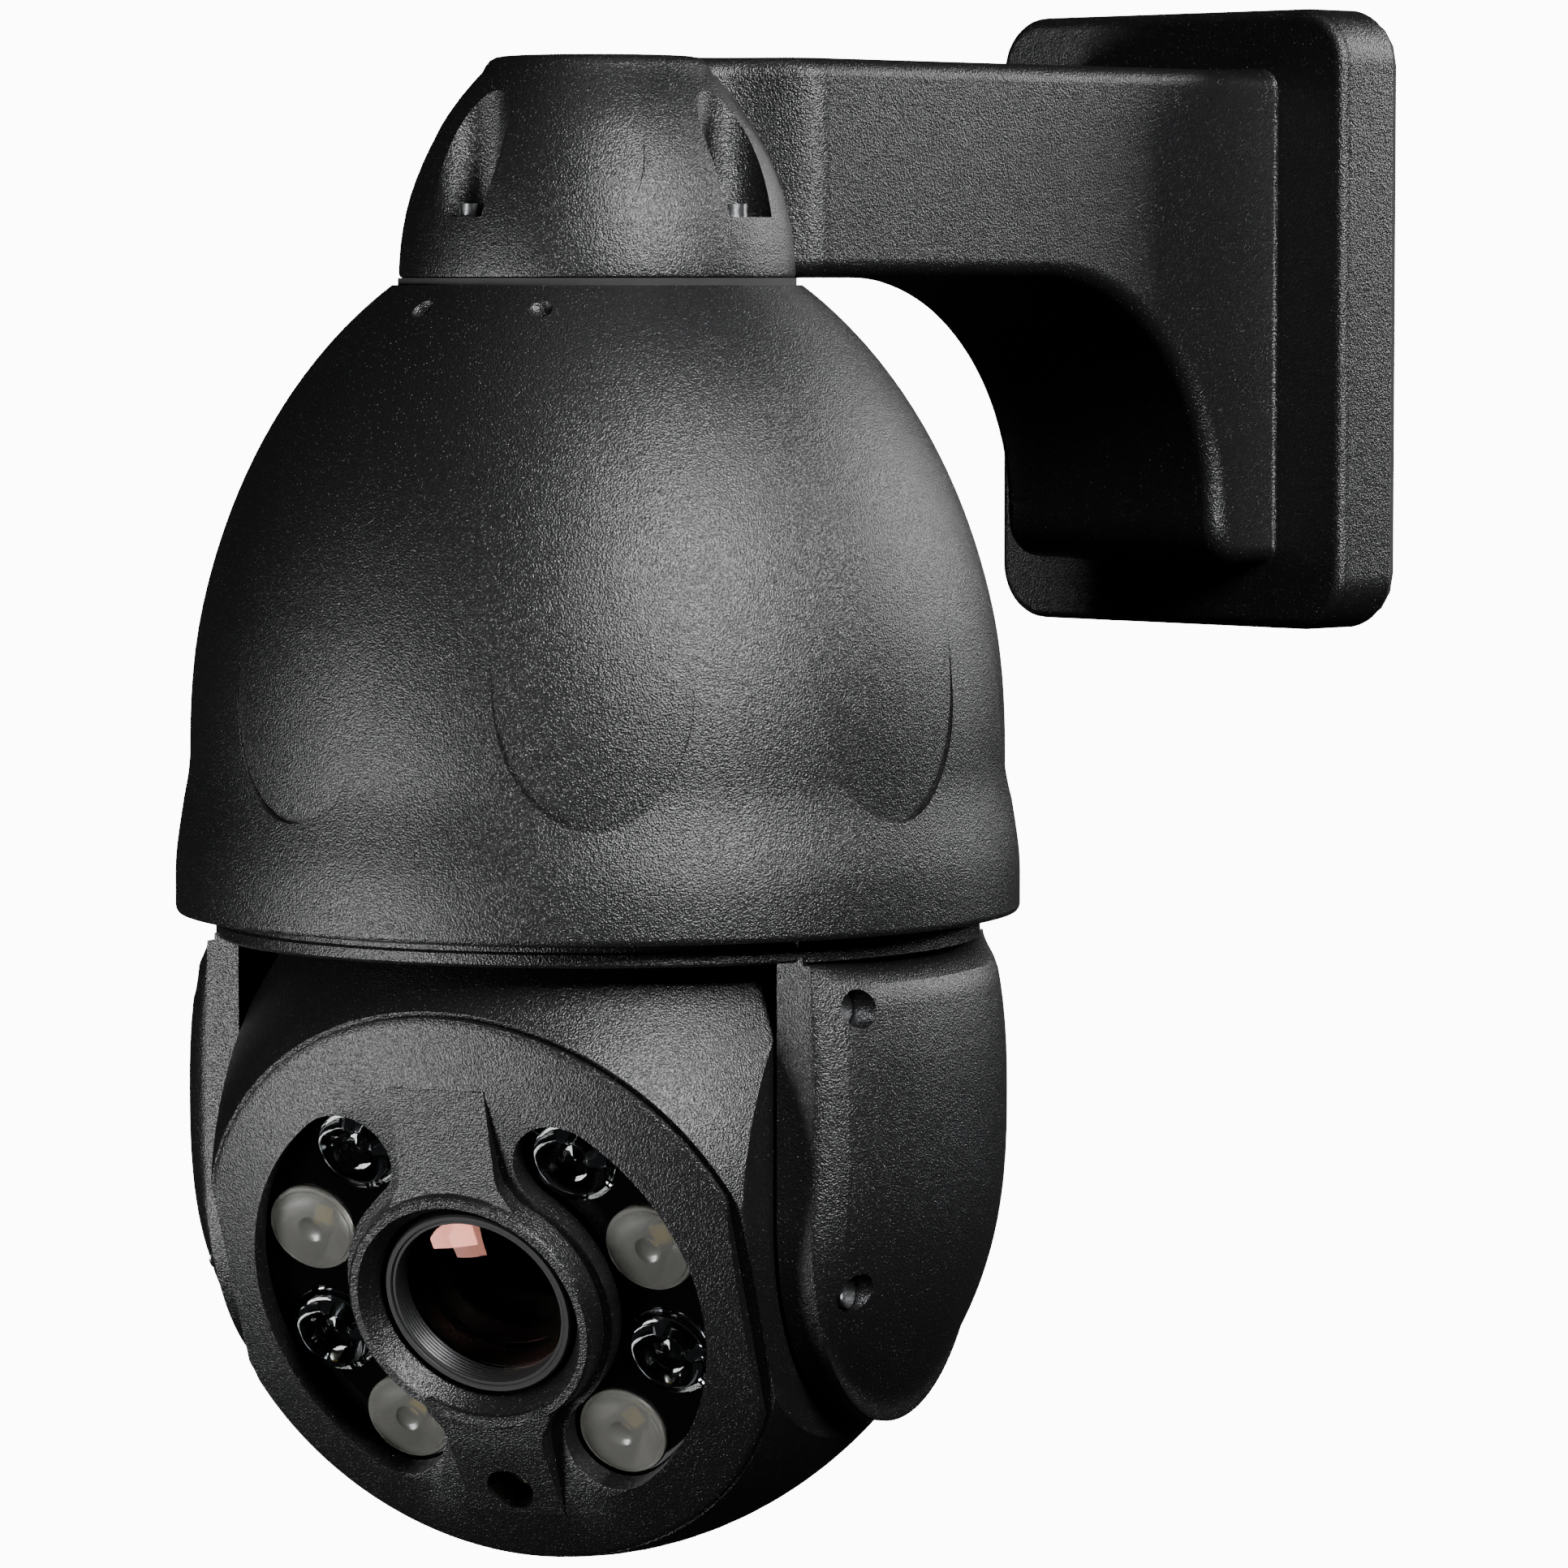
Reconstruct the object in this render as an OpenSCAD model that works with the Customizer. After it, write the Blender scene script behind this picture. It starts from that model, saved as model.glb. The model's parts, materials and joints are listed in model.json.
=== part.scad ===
// Outdoor pan, tilt and zoom camera hung under a cast wall arm.
// A dome housing holds the pan drive, a two-armed yoke turns under it, and a camera ball
// tilts between the arms. Origin: centre of the back of the wall plate. +Y goes into the
// wall, +Z is up. Millimetres. Heights "below the neck" are counted from the neck joint.

/* [Placing] */
// Distance from the wall to the pan axis
reach = 173; // [170:1:180]
// Height of the neck joint above the origin
neck_z = 8.25; // [7:0.25:10]
// Height of the tilt axis below the neck joint
tilt_drop = 162.75; // [162:0.25:164]
// Pan of the stored pose, from straight ahead
pan_rest = 21.2; // [0:0.1:45]
// Tilt of the stored pose, below the horizon
tilt_rest = 22.2; // [0:0.1:60]

/* [Wall bracket] */
// Width of the wall plate
plate_w = 92; // [86:1:96]
// Height of the wall plate
plate_h = 121.5; // [118:0.5:126]
// Thickness of the wall plate
plate_t = 17; // [15:0.5:20]
// Radius of the wall plate's corners
plate_r = 11; // [8:1:14]
// Width of the arm
arm_w = 57.4; // [56:0.2:60]
// Height of the arm's top above the neck joint
arm_rise = 40.5; // [40:0.5:43]
// Height of the leg's foot below the neck joint
leg_drop = 56; // [50:1:58]
// Radius of the arch under the arm
arch_r = 47; // [44:1:48]
// Thickness of the leg in front of the wall plate
leg_t = 18; // [17:1:22]
// Distance between the wall screws across the plate
bolt_x = 60; // [50:1:62]
// Distance between the wall screws up the plate
bolt_z = 84; // [70:1:86]

/* [Dome] */
// Radius of the dome where it stops widening
dome_r = 75.75; // [75:0.25:77]
// Height of the dome's curve
dome_h = 100; // [98:1:104]
// Radius of the rim
rim_r = 78; // [77.5:0.5:80]
// Wall thickness of the dome
dome_wall = 3; // [2.5:0.5:3]

/* [Yoke] */
// Radius of the turning cup under the rim
cup_r = 70.6; // [70:0.1:70.8]
// Largest radius of the arm covers
yoke_r = 75.7; // [75:0.1:76]
// Distance from the ball's centre to the arms' inner faces
arm_in = 54; // [54:0.5:55]
// Half the depth of the arms
arm_half = 40; // [38:1:41]

/* [Camera ball] */
// Radius of the ball
ball_r = 70.4; // [70:0.1:71]
// Front half's length along the lens
ball_long = 82; // [80:1:84]
// Distance from the ball's centre to its flat sides
ball_side = 53; // [52:0.5:53]
// Radius of the face plate
face_r = 55.5; // [55:0.5:56]
// Distance of the face plate's cut sides from the lens axis
face_side = 51; // [50:0.5:52]
// Height of the LED lenses' fronts above the tilt axis
led_e = 50.3; // [50:0.1:51]
// Radius of the circle of LED lenses
led_ring_r = 35.3; // [35:0.1:36]

/* [Drives] */
// Radius of the pan pulley
pan_pulley_r = 27; // [24:1:27]
// Radius of the pan motor's pulley
pan_pinion_r = 9; // [8:1:9]
// Distance from the pan axis to its motor
pan_motor_d = 39.5; // [39:0.5:40]
// Radius of the tilt pulley
tilt_pulley_r = 20; // [18:1:20]
// Radius of the tilt motor's pulley
tilt_pinion_r = 5; // [5:0.5:5.5]
// Distance from the tilt axis to its motor
tilt_motor_d = 28; // [28:0.5:28.5]

/* [Hidden] */
$fn = 64;
eps = 0.01;
tilt_z = neck_z - tilt_drop;
rim_z = neck_z - 116.2;
cup_z = neck_z - 120.75;
cup_top = -73;
chassis_z = -58;
pulley_z = -70.5;
cap_c = 17;
cap_R = 53.5;
pocket_turns = [0, 100, -100];
pocket_floor = 11;
pocket_h = 24;
pocket_r = 7.2;
pocket_out = 31.5;
screw_out = 30.5;
scoop_count = 8;
led_turns = [37.5, 72.5, 107.5, 142.5, -37.5, -72.5, -107.5, -142.5];
ir_turns = [37.5, 107.5, -37.5, -107.5];
white_turns = [72.5, 142.5, -72.5, -142.5];
cover_screws = [[32.5, -121], [31, -172]];
cover_floor = arm_in + 8;
motor_h = 28;
belt_t = 1.3;
belt_gap = 0.35;
strip_w = 18.8;
hood_r = 24;
hood_in = 19.2;
hood_e = 58.9;
window_in = 26;
window_out = 44.4;
rod_u = 13;
cell_r = 15;

// ---- Shared shapes ----

function arc(cx, cy, r, from, to, steps) =
  [for (i = [0:steps]) let (a = from + (to - from) * i / steps) [cx + r * cos(a), cy + r * sin(a)]];

function rounded(w, h, r) = concat(
  arc(w / 2 - r, h / 2 - r, r, 0, 90, 4), arc(r - w / 2, h / 2 - r, r, 90, 180, 4),
  arc(r - w / 2, r - h / 2, r, 180, 270, 4), arc(w / 2 - r, r - h / 2, r, 270, 360, 4));

// Extrudes an outline drawn in X and Z, from the wall towards the room
module off_wall(from, to) {
  translate([0, -from, 0]) rotate([90, 0, 0]) linear_extrude(to - from) children();
}

// Extrudes an outline drawn in Y and Z, the same both ways along X
module across(w) {
  rotate([90, 0, 90]) linear_extrude(w, center = true) children();
}

// Puts children on the pan axis, with their own heights
module on_axis(turn = 0) {
  translate([0, -reach, 0]) rotate([0, 0, turn]) children();
}

// Yoke frame: X along the tilt axis, -Y towards the room
module in_yoke() {
  on_axis(pan_rest) children();
}

// Ball frame: X to the right of the view, Y up the face, Z out along the lens
module in_ball() {
  in_yoke() translate([0, 0, tilt_z]) rotate([tilt_rest + 90, 0, 0]) children();
}

// Cylinder along the yoke's X axis, at a depth and a height
module pin(x0, x1, r, y = 0, z = tilt_z) {
  translate([x0, y, z]) rotate([0, 90, 0]) cylinder(r = r, h = x1 - x0);
}

// The same, at distances from the pan axis on the right (side 1) or the left (side -1)
module side_pin(side, near, far, r, y = 0, z = tilt_z) {
  pin(min(side * near, side * far), max(side * near, side * far), r, y, z);
}

module tube(r, hole, h) {
  difference() {
    cylinder(r = r, h = h);
    translate([0, 0, -1]) cylinder(r = hole, h = h + 2);
  }
}

// Loop of belt round a pulley at the origin and one at distance d along Y
module belt_loop(r1, r2, d, h) {
  difference() {
    linear_extrude(h) hull() {
      circle(r1 + belt_gap + belt_t);
      translate([0, d]) circle(r2 + belt_gap + belt_t);
    }
    translate([0, 0, -1]) linear_extrude(h + 2) hull() {
      circle(r1 + belt_gap);
      translate([0, d]) circle(r2 + belt_gap);
    }
  }
}

// Pulley with two flanges, and a bore for its shaft
module pulley(r, bore, h) {
  difference() {
    union() {
      cylinder(r = r, h = h);
      cylinder(r = r + 1.2, h = 0.7);
      translate([0, 0, h - 0.7]) cylinder(r = r + 1.2, h = 0.7);
    }
    translate([0, 0, -1]) cylinder(r = bore, h = h + 2);
  }
}

// ---- Wall bracket ----

function cap_point(h) = [sqrt(cap_R * cap_R - h * h) - cap_c, neck_z + h];

module cap_solid() {
  on_axis() rotate_extrude() polygon(concat(
    [[0, neck_z]], [for (h = [0:3:36]) cap_point(h)], [cap_point(38)],
    [[19.6, neck_z + arm_rise - 0.7], [17.6, neck_z + arm_rise], [0, neck_z + arm_rise]]));
}

module arm_solid() {
  leg_y = -plate_t - leg_t;
  leg_z = neck_z - leg_drop;
  top_z = neck_z + arm_rise;
  side = concat([[-reach, neck_z], [-reach, top_z], [1 - plate_t, top_z], [1 - plate_t, leg_z]],
    [[leg_y, leg_z]], arc(leg_y - arch_r, neck_z - arch_r, arch_r, 0, 90, 10));
  half = arm_w / 2;
  right = [[14, -reach], [14, 14 - reach], [18, 19 - reach], [23.5, 24 - reach], [half - 1, 28 - reach],
    [half, 32 - reach], [half, 0]];
  plan = concat(right, [for (i = [len(right) - 1:-1:0]) [-right[i][0], right[i][1]]]);
  intersection() {
    across(arm_w) polygon(side);
    translate([0, 0, (top_z + leg_z) / 2]) off_wall(0, reach + 1) polygon(rounded(arm_w, top_z - leg_z, 5));
    translate([0, 0, leg_z - 1]) linear_extrude(top_z - leg_z + 2) polygon(plan);
  }
}

module plate_solid() {
  intersection() {
    off_wall(1.5, plate_t) polygon(rounded(plate_w, plate_h, plate_r));
    across(plate_w + 2) polygon(rounded(2 * plate_t, plate_h, 2.5));
    linear_extrude(plate_h + 2, center = true) polygon(rounded(plate_w, 2 * plate_t, 2.5));
  }
}

// Way for the cable from the wall to the neck, and room for the mounting plate
module bracket_hollow() {
  on_axis() translate([0, 0, neck_z - 1]) cylinder(r = 18.5, h = 33);
  translate([-11, -reach, neck_z + 6]) cube([22, reach - 12, 27]);
  translate([-18, 28 - reach, neck_z + 6]) cube([36, reach - 40, 27]);
  translate([-18, -29.5, -42]) cube([36, 19, 83]);
  translate([-40, -12, 5 - plate_h / 2]) cube([80, 13, plate_h - 10]);
}

module wall_bracket() {
  color("#1d1d1f") difference() {
    union() {
      cap_solid();
      arm_solid();
      plate_solid();
    }
    bracket_hollow();
    for (turn = pocket_turns) {
      on_axis(turn) translate([0, -pocket_out, neck_z + pocket_floor]) cylinder(r = pocket_r, h = pocket_h);
      on_axis(turn) translate([0, -screw_out, neck_z - 1]) cylinder(r = 1.7, h = 20);
    }
    for (x = [-22, 22]) {
      translate([x, -7, -plate_h / 2 - 1]) cylinder(r = 2.1, h = 8);
    }
  }
}

module mounting_plate() {
  tab_z = 52.5;
  color("#9a9da1") difference() {
    union() {
      translate([-37, -2.5, -tab_z]) cube([74, 2.5, 2 * tab_z]);
      translate([-30, -11.5, -tab_z]) cube([60, 10, 2.5]);
      translate([-30, -11.5, tab_z - 2.5]) cube([60, 10, 2.5]);
    }
    off_wall(-1, 4) circle(r = 15);
    for (x = [-bolt_x / 2, bolt_x / 2], z = [-bolt_z / 2, bolt_z / 2]) {
      translate([x, 0, z]) off_wall(-1, 4) circle(r = 2.75);
    }
    for (x = [-22, 22]) {
      translate([x, -7, -tab_z - 1]) cylinder(r = 2.05, h = 4.5);
    }
  }
}

module wall_gasket() {
  color("#111111") off_wall(0, 1.5) difference() {
    polygon(rounded(plate_w - 2, plate_h - 2, plate_r - 1));
    square([80.4, plate_h - 9.6], center = true);
  }
}

module plate_lock_screws() {
  color("#b8bbbf") for (x = [-22, 22]) {
    translate([x, -7, -plate_h / 2 - 0.4]) difference() {
      cylinder(r = 2, h = 11.5);
      translate([0, 0, -1]) cylinder(r = 1.15, h = 3, $fn = 6);
    }
  }
}

module neck_screws() {
  color("#c4c6c8") for (turn = pocket_turns) {
    on_axis(turn) translate([0, -screw_out, 0]) difference() {
      union() {
        translate([0, 0, neck_z + pocket_floor]) cylinder(r = 2.8, h = 2.4);
        translate([0, 0, neck_z - 9]) cylinder(r = 1.5, h = 10 + pocket_floor);
      }
      translate([0, 0, neck_z + pocket_floor + 1]) cylinder(r = 1.15, h = 3, $fn = 6);
    }
  }
}

module neck_gasket() {
  color("#0c0c0c") on_axis() translate([0, 0, neck_z - 1.3]) difference() {
    tube(36.7, 20, 1.3);
    for (turn = pocket_turns) {
      rotate([0, 0, turn]) translate([0, -screw_out, -1]) cylinder(r = 1.8, h = 4);
    }
  }
}

// ---- Dome ----

function dome_point(drop, cut) =
  [(dome_r - cut) * sqrt(1 - pow((88 - drop) / (dome_h - cut), 2)), neck_z - drop];

function flare_point(drop) = [dome_r + (rim_r - dome_r) * sin(90 * (drop - 88) / 21), neck_z - drop];

module dome_solid(cut = 0) {
  rotate_extrude() polygon(concat(
    [[0, neck_z - 1.3 - cut], dome_point(1.3 + cut, cut)],
    [for (drop = [4:4:84]) dome_point(drop + cut, cut)], [[dome_r - cut, neck_z - 88]],
    cut > 0 ? [] : [for (drop = [92:4:108]) flare_point(drop)],
    cut > 0 ? [[dome_r - cut, rim_z], [0, rim_z]] : [[rim_r, rim_z + 2], [rim_r - 2, rim_z], [0, rim_z]]));
}

module dome_hollow() {
  rotate_extrude() polygon(concat(
    [[0, neck_z - 11.3]], [for (drop = [11.3:4:83.3]) dome_point(drop, dome_wall)],
    [[dome_r - dome_wall, neck_z - 88], [dome_r - dome_wall, rim_z - 1], [0, rim_z - 1]]));
}

module dome_housing() {
  scoop = [for (a = [0:15:180]) [17.8 * cos(a), -24.5 * sin(a)]];
  color("#1f1f21") on_axis() difference() {
    union() {
      difference() {
        dome_solid();
        dome_hollow();
      }
      intersection() {
        dome_solid(1);
        for (a = [45:90:315]) {
          rotate([0, 0, a]) translate([60, 0, -55]) cylinder(r = 4.2, h = 45);
        }
      }
    }
    translate([0, 0, rim_z - 1]) cylinder(r = 75.6, h = 4.6);
    translate([0, 0, -5]) cylinder(r = 18.5, h = 20);
    for (turn = pocket_turns) {
      rotate([0, 0, turn]) translate([0, -screw_out, neck_z - 9.5]) cylinder(r = 1.55, h = 10);
    }
    for (a = [45:90:315]) {
      rotate([0, 0, a]) translate([60, 0, -56]) cylinder(r = 1.55, h = 11);
    }
    difference() {
      for (i = [0:scoop_count - 1]) {
        rotate([0, 0, 1 + i * 360 / scoop_count]) translate([0, 0, neck_z - 72])
          off_wall(70, 90) polygon(scoop);
      }
      translate([0, 0, -120]) cylinder(r = 75.2, h = 80);
    }
  }
}

module base_ring() {
  color("#161616") on_axis() translate([0, 0, rim_z]) tube(75.5, 71.3, 3.5);
}

module chassis_plate() {
  color("#a7aaad") on_axis() difference() {
    union() {
      translate([0, 0, chassis_z]) cylinder(r = 66, h = 3);
      translate([0, 0, chassis_z - 3]) cylinder(r = 21, h = 8);
    }
    translate([0, 0, chassis_z - 4]) cylinder(r = 17, h = 10);
    translate([0, pan_motor_d, chassis_z - 1]) cylinder(r = 6, h = 5);
    for (a = [45:90:315]) {
      rotate([0, 0, a]) translate([60, 0, chassis_z - 1]) cylinder(r = 1.7, h = 5);
    }
  }
}

module chassis_screws() {
  color("#c4c6c8") on_axis() for (a = [45:90:315]) {
    rotate([0, 0, a]) translate([60, 0, chassis_z]) {
      translate([0, 0, -2]) cylinder(r = 2.8, h = 2);
      translate([0, 0, -eps]) cylinder(r = 1.5, h = 12);
    }
  }
}

module board_spacers() {
  color("#c9a227") on_axis() for (a = [45:90:315]) {
    rotate([0, 0, a]) translate([46, 0, chassis_z + 3]) cylinder(r = 3, h = 33, $fn = 6);
  }
}

module main_board() {
  color("#1f6b3a") on_axis() translate([0, 0, chassis_z + 36]) {
    tube(52, 13, 1.6);
    translate([-30, -38, 1.5]) cube([22, 12, 8]);
    translate([12, -36, 1.5]) cube([14, 14, 3]);
    translate([20, 6, 1.5]) cube([12, 18, 9]);
    translate([-34, 8, 1.5]) cube([10, 14, 7]);
  }
}

// ---- Pan drive ----

module pan_motor() {
  color("#3b3d40") on_axis() difference() {
    translate([-17.5, pan_motor_d - 17.5, chassis_z + 3]) cube([35, 35, motor_h]);
    translate([0, pan_motor_d, chassis_z]) cylinder(r = 2.55, h = 22);
  }
}

module pan_motor_pulley() {
  color("#d6d8da") on_axis() translate([0, pan_motor_d, pulley_z]) {
    pulley(pan_pinion_r, 2, 8);
    cylinder(r = 2.5, h = 32);
  }
}

module pan_belt() {
  color("#17181a") on_axis() translate([0, 0, pulley_z + 1.2]) {
    belt_loop(pan_pulley_r, pan_pinion_r, pan_motor_d, 5.6);
  }
}

module pan_bearing_outer() {
  color("#c9ccd0") on_axis() translate([0, 0, -61]) tube(17, 14.6, 7);
}

module pan_bearing_balls() {
  color("#e3e5e8") on_axis() for (i = [0:13]) {
    rotate([0, 0, i * 360 / 14]) translate([13.3, 0, -57.5]) sphere(r = 1.25, $fn = 24);
  }
}

module pan_bearing_inner() {
  color("#c9ccd0") on_axis() translate([0, 0, -61]) tube(12, 10, 7);
}

module pan_shaft() {
  color("#b8bbbf") on_axis() translate([0, 0, cup_top]) difference() {
    union() {
      cylinder(r = 15, h = 2);
      translate([0, 0, -3.5]) cylinder(r = 10, h = 26.5);
    }
    translate([0, 0, -5]) cylinder(r = 7, h = 40);
  }
}

module pan_shaft_nut() {
  color("#b8bbbf") on_axis() translate([0, 0, -54]) tube(13.5, 10, 3);
}

module pan_pulley() {
  color("#d6d8da") on_axis() translate([0, 0, pulley_z]) pulley(pan_pulley_r, 10, 8);
}

module slip_ring_stator() {
  color("#2a2a2c") on_axis() {
    translate([0, 0, -48.5]) cylinder(r = 11, h = 12);
    translate([0, 0, -37]) cylinder(r = 5, h = 7);
  }
}

module slip_ring_rotor() {
  color("#c9a227") on_axis() translate([0, 0, -70]) cylinder(r = 6.4, h = 21);
}

module slip_ring_bracket() {
  color("#a7aaad") on_axis() difference() {
    union() {
      for (x = [-24, 24]) {
        translate([x, 0, chassis_z + 3]) cylinder(r = 2.5, h = 17);
      }
      translate([-27, -7, -38]) cube([54, 14, 2]);
    }
    translate([0, 0, -50]) cylinder(r = 11, h = 20);
  }
}

// ---- Yoke ----

function yoke_point(z) = [yoke_r - 3.4 * pow(abs(z - neck_z + 150.5) / 30.4, 2.6), z];

module yoke_form(cut = 0) {
  rotate_extrude() polygon(concat([[0, cup_z - cut]],
    [for (z = [cup_z - cut:-4:tilt_z - 52]) yoke_point(z) - [cut, 0]], [[0, tilt_z - 52]]));
}

// U outline of an arm, seen along the tilt axis
module arm_outline(cut, top) {
  half = arm_half - cut;
  polygon(concat(arc(0, tilt_z - 5, half, 180, 360, 16), [[half, top], [-half, top]]));
}

module arm_slab(side, x0, x1, cut, top) {
  translate([side * (x0 + x1) / 2, 0, 0]) across(x1 - x0) arm_outline(cut, top);
}

module yoke_frame() {
  color("#1f1f21") in_yoke() difference() {
    union() {
      difference() {
        translate([0, 0, cup_z]) cylinder(r = cup_r, h = cup_top - cup_z);
        translate([0, 0, cup_z - 1]) cylinder(r = 66, h = cup_top - 4 - cup_z + 1);
      }
      intersection() {
        translate([0, 0, cup_z]) cylinder(r = cup_r, h = 9);
        for (side = [-1, 1]) {
          translate([side * (arm_in + 10), 0, cup_z + 4]) cube([20, 2 * arm_half, 12], center = true);
        }
      }
      for (side = [-1, 1]) {
        arm_slab(side, arm_in, arm_in + 5, 0, cup_z + 1);
      }
    }
    translate([0, 0, cup_top - 5]) cylinder(r = 10, h = 6);
    for (side = [-1, 1]) {
      side_pin(side, arm_in - 1, arm_in + 6, 9);
    }
    for (side = [-1, 1], s = cover_screws) {
      side_pin(side, arm_in + 0.8, arm_in + 6, 1.55, -s[0], s[1]);
    }
  }
}

// Hollow outer shell of one arm, screwed to the yoke frame
module arm_cover(side) {
  inner = arm_in + 5;
  in_yoke() difference() {
    union() {
      difference() {
        intersection() {
          yoke_form();
          arm_slab(side, inner, inner + 30, 0, cup_z - 0.5);
        }
        intersection() {
          yoke_form(3);
          arm_slab(side, inner - 1, inner + 30, 3, cup_z - 3.5);
        }
      }
      intersection() {
        yoke_form(1);
        for (s = cover_screws) {
          side_pin(side, inner, inner + 20, 4.6, -s[0], s[1]);
        }
      }
    }
    for (s = cover_screws) {
      side_pin(side, inner - 1, inner + 20, 1.7, -s[0], s[1]);
      side_pin(side, cover_floor, inner + 30, 3.5, -s[0], s[1]);
    }
  }
}

module left_arm_cover() {
  color("#1d1d1f") arm_cover(-1);
}

module right_arm_cover() {
  color("#1d1d1f") arm_cover(1);
}

module arm_cover_screws() {
  color("#c4c6c8") in_yoke() for (side = [-1, 1], s = cover_screws) {
    side_pin(side, cover_floor, cover_floor + 2, 2.8, -s[0], s[1]);
    side_pin(side, cover_floor - 7, cover_floor + 0.1, 1.5, -s[0], s[1]);
  }
}

module tilt_bushes() {
  color("#b08a3c") in_yoke() for (side = [-1, 1]) {
    difference() {
      side_pin(side, arm_in, arm_in + 5, 9);
      side_pin(side, arm_in - 1, arm_in + 6, 6.05);
    }
  }
}

module tilt_motor() {
  color("#3b3d40") in_yoke() difference() {
    pin(63.6, 69.6, 10, 0, tilt_z + tilt_motor_d);
    pin(62, 68.6, 1.55, 0, tilt_z + tilt_motor_d);
  }
}

module tilt_motor_pulley() {
  color("#d6d8da") in_yoke() translate([59.4, 0, tilt_z + tilt_motor_d]) rotate([0, 90, 0]) {
    pulley(tilt_pinion_r, 1.2, 3.8);
    cylinder(r = 1.5, h = 9);
  }
}

module tilt_belt() {
  color("#17181a") in_yoke() translate([60.4, 0, tilt_z]) rotate([90, 0, 90]) {
    belt_loop(tilt_pulley_r, tilt_pinion_r, tilt_motor_d, 1.8);
  }
}

// ---- Camera ball ----

function ball_point(e, cut) = [(ball_r - cut) * sqrt(1 - pow(e / ball_long, 2)), e];

module ball_form(cut, front) {
  intersection() {
    rotate_extrude() polygon(concat(
      [for (a = [-90:6:0]) [(ball_r - cut) * cos(a), (ball_r - cut) * sin(a)]],
      [for (e = [4:4:44]) ball_point(e, cut)], [ball_point(front, cut), [0, front]]));
    cube([2 * (ball_side - cut), 200, 200], center = true);
  }
}

module face_outline(cut = 0) {
  intersection() {
    circle(r = face_r - cut, $fn = 128);
    square([2 * (face_side - cut), 200], center = true);
  }
}

module ball_housing() {
  color("#1d1d1f") in_ball() difference() {
    union() {
      difference() {
        ball_form(0, 49.3);
        ball_form(3.5, 50);
      }
      intersection() {
        ball_form(1, 49.2);
        for (u = [-37, 37], v = [-34, 34]) {
          translate([u, v, 38]) cylinder(r = 4, h = 12);
        }
      }
    }
    for (u = [-37, 37], v = [-34, 34]) {
      translate([u, v, 30]) cylinder(r = 1.7, h = 30);
    }
    rotate([0, 90, 0]) translate([0, 0, -60]) cylinder(r = 6.2, h = 120);
  }
}

module face_gasket() {
  color("#0a0a0a") in_ball() translate([0, 0, 49.3]) difference() {
    linear_extrude(0.6) face_outline(1.6);
    translate([0, 0, -1]) linear_extrude(3) face_outline(5.2);
    for (u = [-37, 37], v = [-34, 34]) {
      translate([u, v, -1]) cylinder(r = 1.9, h = 3);
    }
  }
}

// Long curved opening over the LED lenses of one side, with round ends
module face_window() {
  half_turn = 52.5;
  far = 60;
  translate([0, 0, 45]) linear_extrude(15) {
    intersection() {
      difference() {
        circle(r = window_out, $fn = 128);
        circle(r = window_in, $fn = 96);
      }
      polygon([[0, 0], [far, -far * tan(half_turn)], [far, far * tan(half_turn)]]);
    }
    for (turn = [-half_turn, half_turn]) {
      rotate([0, 0, turn]) translate([(window_in + window_out) / 2, 0])
        circle(r = (window_out - window_in) / 2);
    }
  }
}

// Cast front frame: sloping rim, two windows, two strips, and the hood round the lens
module face_plate() {
  rim = [[20, 49.9], [face_r, 49.9], [face_r, 50.6], [face_r - 1.2, 51.6], [window_out - 0.6, 54.7],
    [20, 54]];
  hood = [[hood_in, 49.9], [hood_r + 0.3, 49.9], [hood_r + 0.3, 55], [hood_r - 0.6, hood_e],
    [hood_r - 2.4, hood_e], [hood_in, 56.5]];
  top_strip = [[20, 50], [43.5, 50], [43.5, 54.8], [23, 57.3], [20, 57.3]];
  low_strip = [[20, 50], [43.5, 50], [43.5, 54.9], [23, 58.6], [20, 58.6]];
  color("#242426") in_ball() difference() {
    union() {
      difference() {
        intersection() {
          rotate_extrude($fn = 128) polygon(rim);
          translate([0, 0, 40]) linear_extrude(30) face_outline();
        }
        face_window();
        mirror([1, 0, 0]) face_window();
      }
      rotate_extrude($fn = 96) polygon(hood);
      difference() {
        union() {
          across(strip_w) polygon(top_strip);
          across(strip_w) mirror([1, 0]) polygon(low_strip);
        }
        cylinder(r = hood_in + 2, h = 80);
      }
    }
    translate([0, -38, 40]) cylinder(r = 4.5, h = 30);
    for (u = [-37, 37], v = [-34, 34]) {
      translate([u, v, 49]) cylinder(r = 1.55, h = 2.5);
    }
  }
}

module face_screws() {
  color("#c4c6c8") in_ball() for (u = [-37, 37], v = [-34, 34]) {
    translate([u, v, 36]) cylinder(r = 2.8, h = 2);
    translate([u, v, 37.9]) cylinder(r = 1.5, h = 13);
  }
}

module at_leds(turns) {
  for (turn = turns) {
    rotate([0, 0, -turn]) translate([0, led_ring_r, 0]) children();
  }
}

module led_mask() {
  color("#050505") in_ball() difference() {
    translate([0, 0, 47.4]) tube(46, 20, 1.5);
    at_leds(ir_turns) translate([0, 0, 40]) cylinder(r = 8.75, h = 10);
    at_leds(white_turns) translate([0, 0, 40]) cylinder(r = 8.65, h = 10);
    translate([0, -38, 40]) cylinder(r = 4.8, h = 30);
  }
}

module ir_lenses() {
  color("#dfe6ea") in_ball() at_leds(ir_turns) rotate_extrude() {
    polygon([[0, 41.6], [3, 41.6], [4, 43], [7.2, 48.4], [7.3, led_e], [0, led_e]]);
  }
}

module ir_lens_holders() {
  color("#c8ced2") in_ball() at_leds(ir_turns) translate([0, 0, 46.2]) rotate_extrude() {
    polygon([[7.35, 3.3], [7.35, 2.6], [7.9, 0], [8.6, 0], [8.6, 3.3]]);
  }
}

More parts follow.
